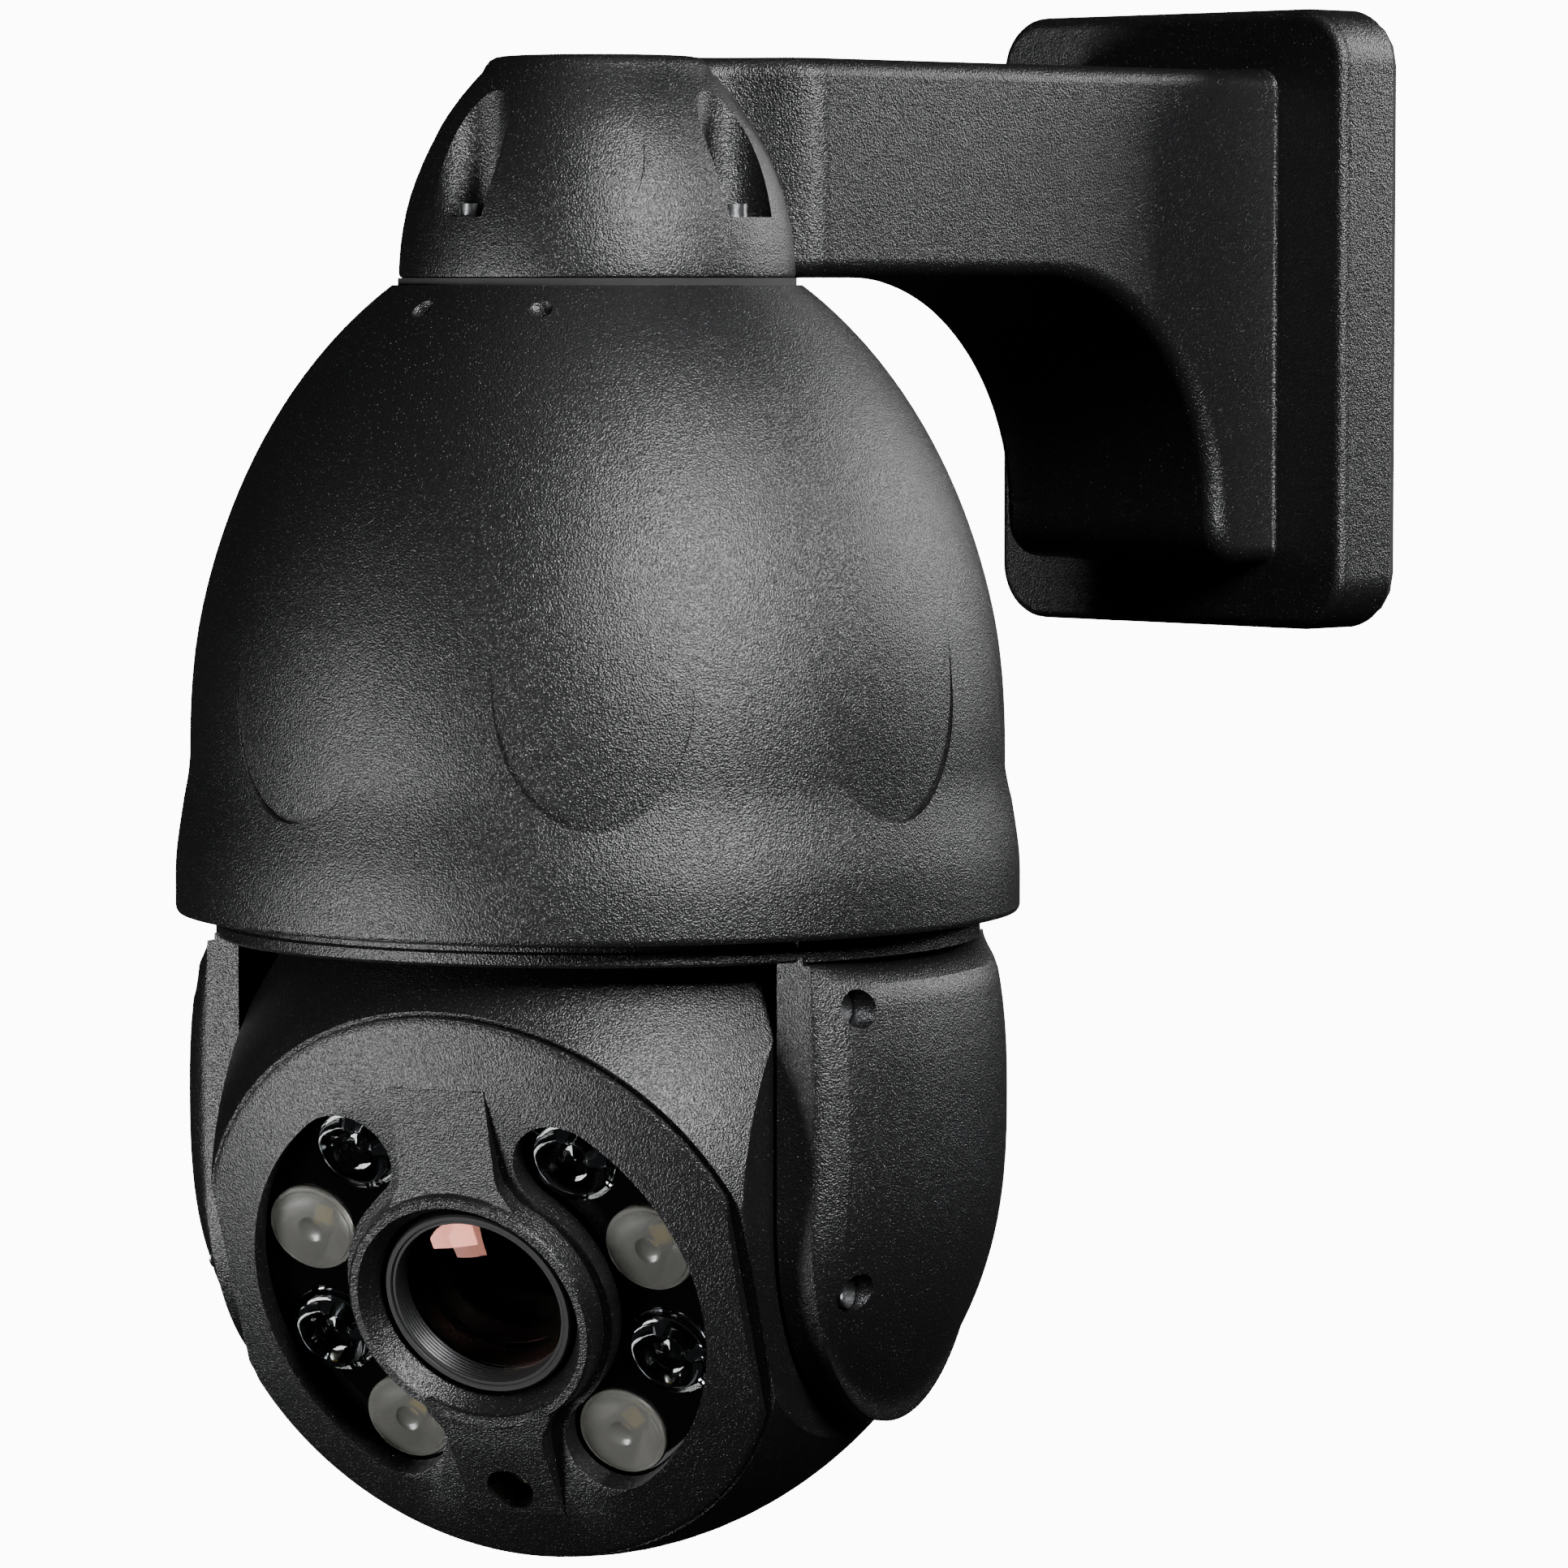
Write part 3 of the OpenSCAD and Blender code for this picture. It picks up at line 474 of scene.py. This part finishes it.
for turn in (-36, -0.5, 33):
    out = Matrix.Rotation(math.radians(turn), 3, "Z") @ Vector((0, -dome_radius(5.5) - 0.9, -4.7))
    dimple = begin("dimple", bpy.ops.mesh.primitive_uv_sphere_add, segments=24, ring_count=16, radius=2.6,
                   location=out)
    close(dimple)
    combine(dome, dimple, "DIFFERENCE")
dome_place = Matrix.Translation((0, -REACH * MM, NECK * MM))
finish_piece(dome, dome_place, powder_coat, "cast_black", "bracket", "dome_housing")


# --- Yoke casting ---
# The turning cup that closes the dome from below, with its double lip, and the flat
# inner faces of the two arms. It turns with the pan shaft.
tilt_axis = Vector(joints["tilt"]["axis"])
YOKE_TURN = math.atan2(tilt_axis.y, tilt_axis.x)
TILT_Z = joints["tilt"]["pos_m"][2] / MM
CUP_FOOT = NECK - 120.75
ARM_ROUND = 40
ARM_MIDDLE = TILT_Z - 5
yoke_place = Matrix.Translation((0, -REACH * MM, 0)) @ Matrix.Rotation(YOKE_TURN, 4, "Z")


def cylinder(name, radius, start, end, steps=64):
    """A round bar from one point to another, to unite or to cut with."""
    start, end = Vector(start), Vector(end)
    bar = begin(name, bpy.ops.mesh.primitive_cylinder_add, vertices=steps, radius=radius,
                depth=(end - start).length)
    close(bar)
    turned = (end - start).to_track_quat("Z", "Y").to_matrix().to_4x4()
    bake_place(bar, Matrix.Translation((start + end) / 2) @ turned)
    return bar


def block(name, low, high):
    """A box between two corners."""
    low, high = Vector(low), Vector(high)
    box = begin(name, bpy.ops.mesh.primitive_cube_add, size=1)
    bpy.ops.transform.resize(value=high - low)
    bpy.ops.transform.translate(value=(low + high) / 2)
    close(box)
    return box


def arm_outline(top):
    """The U outline of an arm, seen along the tilt axis."""
    return arc(0, ARM_MIDDLE, ARM_ROUND, 180, 360, 48) + [(ARM_ROUND, top), (-ARM_ROUND, top)]


yoke = lathe("yoke_casting", [(10, -73), (70, -73), (70.6, -73.6), (70.6, -108.4), (70.1, -108.9),
                              (70.1, -109.7), (70.6, -110.2), (70.6, -112), (70.1, -112.5), (66, -112.5),
                              (66, -77), (10, -77), (10, -73)], 192)
for side in (-1, 1):
    near, far = min(54 * side, 74 * side), max(54 * side, 74 * side)
    foot = block("foot", (near, -ARM_ROUND, CUP_FOOT), (far, ARM_ROUND, CUP_FOOT + 9))
    rim = cylinder("foot_round", 70.55, (0, 0, CUP_FOOT - 1), (0, 0, CUP_FOOT + 10), 192)
    combine(foot, rim, "INTERSECT")
    slab = prism("arm_slab", [(54 * side, y, z) for y, z in arm_outline(CUP_FOOT + 1)], (5 * side, 0, 0))
    combine(yoke, foot, "UNION")
    combine(yoke, slab, "UNION")
    combine(yoke, cylinder("bush_hole", 9, (53 * side, 0, TILT_Z), (61 * side, 0, TILT_Z)), "DIFFERENCE")
round_edges(yoke, 0.5, 2, 40)
finish_piece(yoke, yoke_place, powder_coat, "cast_black", "yoke", "yoke_frame")


# --- Arm covers ---
# A domed shell over each arm's drive, with a wide soft edge, held by two screws that
# sit deep in round wells. The outer face follows the line of the dome above.
COVER_SCREWS = ((32.5, -121), (31, -172))
RINGS = (0.25, 0.8, 1.6, 2.7, 4.1, 6, 9, 13, 18, 23, 28, 33, 37)
COVER_FOOT = 59
COVER_RIM = 60.5
COVER_TOP = CUP_FOOT - 0.5
EDGE_WIDTH = 6


def cover_height(y, z, inset):
    """How far from the yoke's middle the cover's face is, at a point that far inside its edge."""
    radius = 75.7 - 3.4 * (abs(z - NECK + 150.5) / 30.4) ** 2.6
    outer = max(math.sqrt(max(radius**2 - y * y, 0)), 60.9)
    return COVER_RIM + (outer - COVER_RIM) * math.sqrt(1 - (1 - min(inset, EDGE_WIDTH) / EDGE_WIDTH) ** 2)


for side, node in ((-1, "left_arm_cover"), (1, "right_arm_cover")):
    cover = draw(node + "_shell", [(COVER_FOOT * side, y, z) for y, z in arm_outline(COVER_TOP)])
    rise_of_rim = (COVER_RIM - COVER_FOOT) * side
    bpy.ops.mesh.extrude_region_move(TRANSFORM_OT_translate={"value": (rise_of_rim, 0, 0)})
    for near, far in zip((0,) + RINGS, RINGS):
        bpy.ops.mesh.inset(thickness=far - near, depth=0)
    for level in range(int(TILT_Z) - 3, int(CUP_FOOT) - 1, 4):
        slice_at(cover, (0, 0, level), (0, 0, 1))
    for level in range(-36, 40, 4):
        slice_at(cover, (0, level, 0), (0, 1, 0))
    pick(cover, "polygons", lambda p: abs(p.x) > 60.4)
    bpy.ops.mesh.quads_convert_to_tris()
    close(cover)
    # The flat grid is pressed out to the curve, point by point.
    for vertex in cover.data.vertices:
        y, z = vertex.co.y, vertex.co.z
        inset = min(ARM_ROUND - math.hypot(y, min(z - ARM_MIDDLE, 0)), COVER_TOP - z)
        if inset > 0.1 and abs(vertex.co.x) > 60:
            vertex.co.x = side * cover_height(y, z, inset)
    pick(cover, "vertices", lambda p: True)
    bpy.ops.mesh.normals_make_consistent(inside=False)
    close(cover)
    for y, z in COVER_SCREWS:
        well = cylinder("screw_well", 3.5, (62 * side, -y, z), (80 * side, -y, z), 48)
        combine(cover, well, "DIFFERENCE")
    finish_piece(cover, yoke_place, powder_coat, "cast_black", "yoke", node)


# --- Camera ball ---
# A cast ball cut flat where the arms hold it, open at the front for the face plate,
# with bores for the hollow tilt shafts.
look = Vector(joints["zoom"]["axis"])
rise = look.cross(tilt_axis)
BALL_SIDE = 53
BALL_ROUND = 70.4
BALL_STRETCH = 82
BALL_WALL = 3.5
turned = Matrix((tilt_axis, rise, look)).transposed().to_4x4()
ball_place = Matrix.Translation(joints["tilt"]["pos_m"]) @ turned


def ball_profile(cut, front):
    """Half outline of the ball: round behind, drawn out longer in front."""
    half = BALL_ROUND - cut
    behind = []
    for angle in range(-87, 1, 3):
        behind.append((half * math.cos(math.radians(angle)), half * math.sin(math.radians(angle))))
    ahead = [3, 6, 9, 12, 16, 20, 24, 28, 32, 36, 40, 44, 47, front]
    before = [(half * math.sqrt(1 - (e / BALL_STRETCH) ** 2), e) for e in ahead]
    return [(0, -half)] + behind + before + [(0, front)]


def flatten(piece, side):
    """Cuts a piece flat on both sides, and closes the cuts."""
    for sign in (-1, 1):
        slice_at(piece, (sign * side, 0, 0), (sign, 0, 0), drop_outer=True)
    close(piece)


ball = lathe("ball_casting", ball_profile(0, 49.3), 192)
flatten(ball, BALL_SIDE)
hollow = lathe("ball_hollow", ball_profile(BALL_WALL, 50), 128)
flatten(hollow, BALL_SIDE - BALL_WALL)
combine(ball, hollow, "DIFFERENCE")
combine(ball, cylinder("shaft_bore", 6.2, (-60, 0, 0), (60, 0, 0)), "DIFFERENCE")
finish_piece(ball, ball_place, powder_coat, "cast_black", "ball", "ball_housing")


# --- Face plate ---
# Cast frame over the lamps: a sloping rim, two curved windows, a raised strip above
# and below, and the hood round the lens with its stepped mouth.
def window(name):
    """Cutter for the long curved opening over one side's lamps."""
    mid, half, reach = 35.2, 9.2, 52.5
    across, up = mid * math.cos(math.radians(reach)), mid * math.sin(math.radians(reach))
    outline = arc(0, 0, mid + half, -reach, reach, 40)
    outline += arc(across, up, half, reach, reach + 180, 24)[1:]
    outline += arc(0, 0, mid - half, reach, -reach, 32)[1:]
    outline += arc(across, -up, half, 180 - reach, 360 - reach, 24)[1:-1]
    return prism(name, [(x, y, 45) for x, y in outline], (0, 0, 15))


def strip(name, slopes, up):
    """One raised strip, wider where it meets the hood, with its top cut to the slopes."""
    side = [(9.4, 43.5), (9.4, 27), (9.8, 25), (10.7, 23.4), (12.2, 21), (12.2, 18)]
    outline = side + [(-x, y) for x, y in side[::-1]]
    piece = prism(name, [(x, up * y, 50) for x, y in outline], (0, 0, 12))
    for (near, low), (far, high) in slopes:
        out = Vector((0, up * (high - low), near - far)).normalized()
        slice_at(piece, (0, up * near, low), out, drop_outer=True)
    close(piece)
    combine(piece, cylinder("hood_room", 21.2, (0, 0, 40), (0, 0, 80)), "DIFFERENCE")
    return piece


face = lathe("face_casting", [(20, 49.9), (55.5, 49.9), (55.5, 50.6), (54.3, 51.6), (43.75, 54.7), (24, 54),
                              (20, 54), (20, 49.9)], 192)
flatten(face, 51)
combine(face, window("window"), "DIFFERENCE")
left_window = window("left_window")
bake_place(left_window, Matrix.Rotation(math.pi, 4, "Z"))
combine(face, left_window, "DIFFERENCE")
combine(face, strip("top_strip", [((43.5, 54.8), (23, 57.3))], 1), "UNION")
combine(face, strip("low_strip", [((43.5, 54.9), (29, 58)), ((29, 58), (23, 58.6))], -1), "UNION")
mouth = []
for step in range(5):
    mouth += [(21.3 - 0.4 * step, 58.3 - 0.75 * step), (21.05 - 0.4 * step, 57.75 - 0.75 * step)]
hood_outline = [(19.2, 49.9), (24.3, 49.9), (24.3, 55), (23.7, 58.4), (23.2, 58.9), (21.8, 58.9)]
hood = lathe("hood", hood_outline + mouth + [(19.2, 54), (19.2, 49.9)], 192)
combine(face, hood, "UNION")
combine(face, cylinder("photocell_hole", 4.5, (0, -38, 40), (0, -38, 70), 48), "DIFFERENCE")
round_edges(face, 0.3, 2, 32)
finish_piece(face, ball_place, powder_coat, "cast_black", "ball", "face_plate", angle=32)


# --- Clear moulded acrylic, on the infrared lenses and their holders ---
# Polished optical acrylic. It gives the eye clear depth with bright, sharp box
# reflections, and a faint flow ripple from the mould.
clear_acrylic, tree, shader = new_material("clear_injection_moulded_acrylic")
place = add_node(tree, "TexCoord", {}).outputs["Object"]
flow = add_node(tree, "TexNoise", {"Vector": place, "Scale": 1 / 0.003, "Detail": 1.0})
bump = add_node(tree, "Bump", {"Height": flow.outputs["Fac"], "Strength": 0.15, "Distance": 0.0001})
tree.links.new(bump.outputs[0], shader.inputs["Normal"])
shader.inputs["Base Color"].default_value = srgb("#e9eef0")
shader.inputs["Roughness"].default_value = 0.03
shader.inputs["IOR"].default_value = 1.49
shader.inputs["Transmission Weight"].default_value = 1.0


# --- Infrared lenses and holders ---
# Four collimating lenses of clear acrylic, hollow over the chip with a small bump in
# the middle, each snapped into a clear ring whose rim is notched into segments.
LAMP_RING = 35.3
INFRARED_TURNS = (37.5, 107.5, -37.5, -107.5)


def at_lamps(piece, turns):
    """Moves one lamp's piece out to the ring of lamps, and copies it to each turn."""
    bake_place(piece, Matrix.Translation((0, LAMP_RING, 0)))
    return around(piece, turns)


infrared_outline = [(0, 41.6), (3, 41.6), (4, 43), (7.2, 48.4), (7.3, 49.7), (7.05, 50.05), (6.4, 50.25)]
infrared_outline += [(5, 50.3), (3.8, 50.2), (3.3, 49.9), (3.0, 48.8), (2.2, 48.2), (1.2, 48.3)]
infrared = lathe("infrared_lenses_clear", infrared_outline + [(0.6, 48.7), (0, 48.9)], 64)
infrared = at_lamps(infrared, INFRARED_TURNS)
finish_piece(infrared, ball_place, clear_acrylic, "clear_acrylic", "ball", "ir_lenses")

holder_outline = [(7.35, 46.4), (7.9, 46.2), (8.55, 46.2), (8.6, 46.4), (8.6, 49.2), (8.3, 49.5)]
holder_outline += [(7.6, 49.5), (7.35, 49.2), (7.35, 46.4)]
holder = lathe("infrared_holders_clear", holder_outline, 96)
for turn in range(0, 180, 60):
    notch = block("notch", (-9.5, -0.55, 48.3), (9.5, 0.55, 50))
    bake_place(notch, Matrix.Rotation(math.radians(turn), 4, "Z"))
    combine(holder, notch, "DIFFERENCE")
holder = at_lamps(holder, INFRARED_TURNS)
finish_piece(holder, ball_place, clear_acrylic, "clear_acrylic", "ball", "ir_lens_holders")


# --- Satin moulded acrylic, on the white-light lenses ---
# Acrylic with a textured mould face. It gives the eye a milky, greyish glow with one
# wide soft highlight and no sharp reflections.
satin_acrylic, tree, shader = new_material("satin_frosted_moulded_acrylic")
place = add_node(tree, "TexCoord", {}).outputs["Object"]
frost = add_node(tree, "TexNoise", {"Vector": place, "Scale": 1 / 0.0004, "Detail": 2.0})
bump = add_node(tree, "Bump", {"Height": frost.outputs["Fac"], "Strength": 0.4, "Distance": 0.00005})
tint = add_node(tree, "Mix", {0: frost.outputs["Fac"], 6: srgb("#a9a9a2"), 7: srgb("#c2c2bb")},
                data_type="RGBA")
tree.links.new(tint.outputs[2], shader.inputs["Base Color"])
tree.links.new(bump.outputs[0], shader.inputs["Normal"])
shader.inputs["Roughness"].default_value = 0.26
shader.inputs["IOR"].default_value = 1.49
shader.inputs["Transmission Weight"].default_value = 0.88


# --- White-light lenses ---
# Four satin lenses over the yellow chips, each with a low crown, a dimple in its
# middle and a thin rim.
WHITE_TURNS = (72.5, 142.5, -72.5, -142.5)
satin_crown = [(8.45, 49.4), (8.3, 49.7), (7.7, 49.75), (7.5, 49.9)]
for angle in range(30, 71, 10):
    satin_crown.append((7.4 * math.cos(math.radians(angle)), 49.6 + 0.7 * math.sin(math.radians(angle))))
satin_crown += [(2.2, 50.05), (1.4, 49.85), (0, 49.8)]
satin = lathe("white_light_lenses", [(0, 41.6), (3, 41.6), (4.4, 43), (8.3, 48.4)] + satin_crown, 64)
satin = at_lamps(satin, WHITE_TURNS)
finish_piece(satin, ball_place, satin_acrylic, "frosted_acrylic", "ball", "white_lenses")


# --- Moulded black plastic ---
# Glass-filled polyamide and ABS, fresh from a sparked mould. It gives the eye a soft
# even sheen over a very fine grain.
black_plastic, tree, shader = new_material("sparked_moulded_black_plastic")
place = add_node(tree, "TexCoord", {}).outputs["Object"]
spark = add_node(tree, "TexNoise", {"Vector": place, "Scale": 1 / 0.00025, "Detail": 2.0})
bump = add_node(tree, "Bump", {"Height": spark.outputs["Fac"], "Strength": 0.5, "Distance": 0.00004})
sheen = add_node(tree, "MapRange", {"Value": spark.outputs["Fac"], "To Min": 0.38, "To Max": 0.5})
tree.links.new(sheen.outputs[0], shader.inputs["Roughness"])
tree.links.new(bump.outputs[0], shader.inputs["Normal"])
shader.inputs["Base Color"].default_value = srgb("#151516")


# --- Zoom module's front ring and baffle ---
# The turned grey rim that frames the lens, and behind it the stepped black cone that
# traps stray light on its way to the glass.
barrel = lathe("zoom_front_ring", [(16.9, 30), (21, 30), (21, 33), (18.2, 33), (18.2, 54.6), (17.9, 55),
                                   (17.1, 55), (16.9, 54.8), (16.9, 30)], 128)
finish_piece(barrel, ball_place, black_plastic, "black_plastic", "ball", "zoom_barrel")

ribs = []
for rib in range(6):
    ribs += [(16.3 - 0.07 * rib, 54.6 - 0.7 * rib), (16.42 - 0.07 * rib, 54.2 - 0.7 * rib)]
baffle_outline = [(16.85, 50.3), (16.85, 54.6)] + ribs + [(15.9, 50.3), (16.85, 50.3)]
baffle = lathe("stepped_lens_baffle", baffle_outline, 128)
finish_piece(baffle, ball_place, black_plastic, "black_plastic", "ball", "lens_baffle")


# --- Coated optical glass ---
# Multicoated lens glass. It gives the eye a deep, dark middle, and reflections that the
# thin film on its face tints salmon, or green in patches.
coated_glass, tree, shader = new_material("multicoated_polished_optical_glass")
place = add_node(tree, "TexCoord", {}).outputs["Object"]
film = add_node(tree, "TexNoise", {"Vector": place, "Scale": 1 / 0.012, "Detail": 0.0})
band = add_node(tree, "MapRange", {"Value": film.outputs["Fac"], "From Min": 0.6, "From Max": 0.64})
hue = add_node(tree, "Mix", {0: band.outputs[0], 6: srgb("#f0907c"), 7: srgb("#7cc05a")}, data_type="RGBA")
tree.links.new(hue.outputs[2], shader.inputs["Specular Tint"])
shader.inputs["Base Color"].default_value = srgb("#f2f4f4")
shader.inputs["Roughness"].default_value = 0.0
shader.inputs["IOR"].default_value = 1.6
shader.inputs["Transmission Weight"].default_value = 1.0


# --- Front lens ---
# The zoom module's first element, with a polished crown and a ground edge, held
# behind the baffle.
CROWN_ROUND = 60
crown = []
for angle in range(0, 16):
    turn = math.radians(angle)
    crown.append((CROWN_ROUND * math.sin(turn), CROWN_ROUND * math.cos(turn) - 7.7))
back = [(r, 44.3 + 2.4 * (1 - (r / 14.5) ** 2)) for r in (14.5, 12, 9, 6, 3, 0)]
front = lathe("front_element", crown + [(16.4, 49.95), (16.8, 49.6), (16.8, 44.2), (16.6, 44)] + back, 128)
finish_piece(front, ball_place, coated_glass, "lens_glass", "ball", "front_lens")


# --- Gloss black acrylic, on the lamp mask ---
# A polished black sheet behind the windows. It gives the eye mirror-like reflections
# of the lamps, with a few hairline scratches.
gloss_black, tree, shader = new_material("polished_gloss_black_acrylic")
place = add_node(tree, "TexCoord", {}).outputs["Object"]
hairs = add_node(tree, "TexNoise", {"Vector": place, "Scale": 1 / 0.006, "Detail": 6.0, "Distortion": 2.0})
dulled = add_node(tree, "MapRange", {"Value": hairs.outputs["Fac"], "To Min": 0.02, "To Max": 0.1})
tree.links.new(dulled.outputs[0], shader.inputs["Roughness"])
shader.inputs["Base Color"].default_value = srgb("#050505")


# --- Black rubber, on gaskets and belts ---
# Moulded nitrile rubber. It gives the eye a dry, dark grey-black with a powdery
# bloom and no clear highlight.
black_rubber, tree, shader = new_material("moulded_black_nitrile_rubber")
place = add_node(tree, "TexCoord", {}).outputs["Object"]
bloom = add_node(tree, "TexNoise", {"Vector": place, "Scale": 1 / 0.004, "Detail": 5.0})
tint = add_node(tree, "Mix", {0: bloom.outputs["Fac"], 6: srgb("#0b0b0b"), 7: srgb("#1a1a1a")},
                data_type="RGBA")
bump = add_node(tree, "Bump", {"Height": bloom.outputs["Fac"], "Strength": 0.3, "Distance": 0.00005})
tree.links.new(tint.outputs[2], shader.inputs["Base Color"])
tree.links.new(bump.outputs[0], shader.inputs["Normal"])
shader.inputs["Roughness"].default_value = 0.8


# --- Bare metals ---
# Zinc-plated sheet, turned stainless steel, milled aluminium and drawn brass. Each
# gives the eye its own colour, and fine tool lines that spread the highlight.
def bare_metal(name, dark, light, line, rough, stretch):
    """A metal with tool lines that far apart, stretched along each direction by these."""
    material, tree, shader = new_material(name)
    place = add_node(tree, "TexCoord", {}).outputs["Object"]
    drawn = add_node(tree, "Mapping", {"Vector": place, "Scale": stretch})
    lines = add_node(tree, "TexNoise", {"Vector": drawn.outputs[0], "Scale": 1 / line, "Detail": 3.0})
    tint = add_node(tree, "Mix", {0: lines.outputs["Fac"], 6: srgb(dark), 7: srgb(light)}, data_type="RGBA")
    spread = add_node(tree, "MapRange", {"Value": lines.outputs["Fac"], "To Min": rough - 0.08,
                                         "To Max": rough + 0.08})
    bump = add_node(tree, "Bump", {"Height": lines.outputs["Fac"], "Strength": 0.3, "Distance": 0.00002})
    tree.links.new(tint.outputs[2], shader.inputs["Base Color"])
    tree.links.new(spread.outputs[0], shader.inputs["Roughness"])
    tree.links.new(bump.outputs[0], shader.inputs["Normal"])
    shader.inputs["Metallic"].default_value = 1.0
    return material


zinc_sheet = bare_metal("zinc_plated_steel_sheet", "#8f9398", "#b9bdc2", 0.004, 0.36, (1, 1, 1))
stainless = bare_metal("turned_stainless_steel", "#b4b6b8", "#d6d8da", 0.0003, 0.24, (1, 1, 0.2))
milled = bare_metal("milled_aluminium", "#a4a7ab", "#c6c9cc", 0.0005, 0.34, (1, 0.05, 1))
brass = bare_metal("drawn_brass", "#a8823a", "#d2ac5c", 0.0004, 0.3, (1, 1, 0.05))


# --- Motor enamel, phosphor, black lamp board and cream plastic ---
# Baked enamel on the motors, cast phosphor on the lamps, black print on their board
# and the photocell's moulded body. Each gives the eye a plain colour, faintly mottled.
def speckled(name, dark, light, size, rough):
    """A painted or moulded surface with a slight mottle of that size."""
    material, tree, shader = new_material(name)
    place = add_node(tree, "TexCoord", {}).outputs["Object"]
    mottle = add_node(tree, "TexNoise", {"Vector": place, "Scale": 1 / size, "Detail": 3.0})
    tint = add_node(tree, "Mix", {0: mottle.outputs["Fac"], 6: srgb(dark), 7: srgb(light)},
                    data_type="RGBA")
    bump = add_node(tree, "Bump", {"Height": mottle.outputs["Fac"], "Strength": 0.3, "Distance": 0.00003})
    tree.links.new(tint.outputs[2], shader.inputs["Base Color"])
    tree.links.new(bump.outputs[0], shader.inputs["Normal"])
    shader.inputs["Roughness"].default_value = rough
    return material


motor_enamel = speckled("baked_black_motor_enamel", "#17181a", "#242629", 0.002, 0.35)
phosphor = speckled("cast_yellow_led_phosphor", "#c9a51e", "#ecd04a", 0.0002, 0.5)
black_mask = speckled("printed_black_lamp_board", "#08080a", "#101013", 0.003, 0.3)
cream_plastic = speckled("moulded_cream_plastic", "#c9c1ab", "#ddd6c2", 0.0015, 0.4)


# --- Lamp chips ---
# Square dies on the board under each lens: yellow phosphor for white light, and dark,
# glassy ones for infrared.
for name, turns, finish in (("white_light_dies", WHITE_TURNS, phosphor),
                            ("infrared_dies", INFRARED_TURNS, gloss_black)):
    die = begin(name, bpy.ops.mesh.primitive_cube_add, size=1)
    bpy.ops.transform.resize(value=(3.3, 3.3, 0.85))
    bpy.ops.transform.translate(value=(0, LAMP_RING, 41.05))
    close(die)
    die = around(die, turns)
    round_edges(die, 0.15, 2)
    finish_piece(die, ball_place, finish, "led_yellow", "ball", "led_chips")


# --- Solder mask, on the circuit boards ---
# Green mask printed over copper on glass-filled epoxy. It gives the eye a flat green
# with paler lines where the traces run.
solder_mask, tree, shader = new_material("printed_green_circuit_board")
place = add_node(tree, "TexCoord", {}).outputs["Object"]
traces = add_node(tree, "TexBrick", {"Vector": place, "Color1": srgb("#0e3a22"), "Color2": srgb("#134a2c"),
                                     "Mortar": srgb("#1f6b3a"), "Scale": 1 / 0.012})
tree.links.new(traces.outputs["Color"], shader.inputs["Base Color"])
shader.inputs["Roughness"].default_value = 0.3


# --- Finish of every other sub-part ---
# Each node of the frame takes the material of its slot, except the lamp board, which
# is printed black.
FINISHES = {
    "cast_black": powder_coat,
    "black_plastic": black_plastic,
    "gloss_black": gloss_black,
    "black_rubber": black_rubber,
    "steel_sheet": zinc_sheet,
    "steel_screw": stainless,
    "aluminium": milled,
    "motor_black": motor_enamel,
    "brass": brass,
    "circuit_board": solder_mask,
    "lens_glass": coated_glass,
    "clear_acrylic": clear_acrylic,
    "frosted_acrylic": satin_acrylic,
    "led_yellow": phosphor,
    "cream_plastic": cream_plastic,
}

for part in frame["record"]["subparts"]:
    cad_node = frame["nodes"][part["node"]]
    cad_node.data.materials.clear()
    finish = black_mask if part["node"] == "led_board" else FINISHES[part["material_slot"]]
    cad_node.data.materials.append(finish)
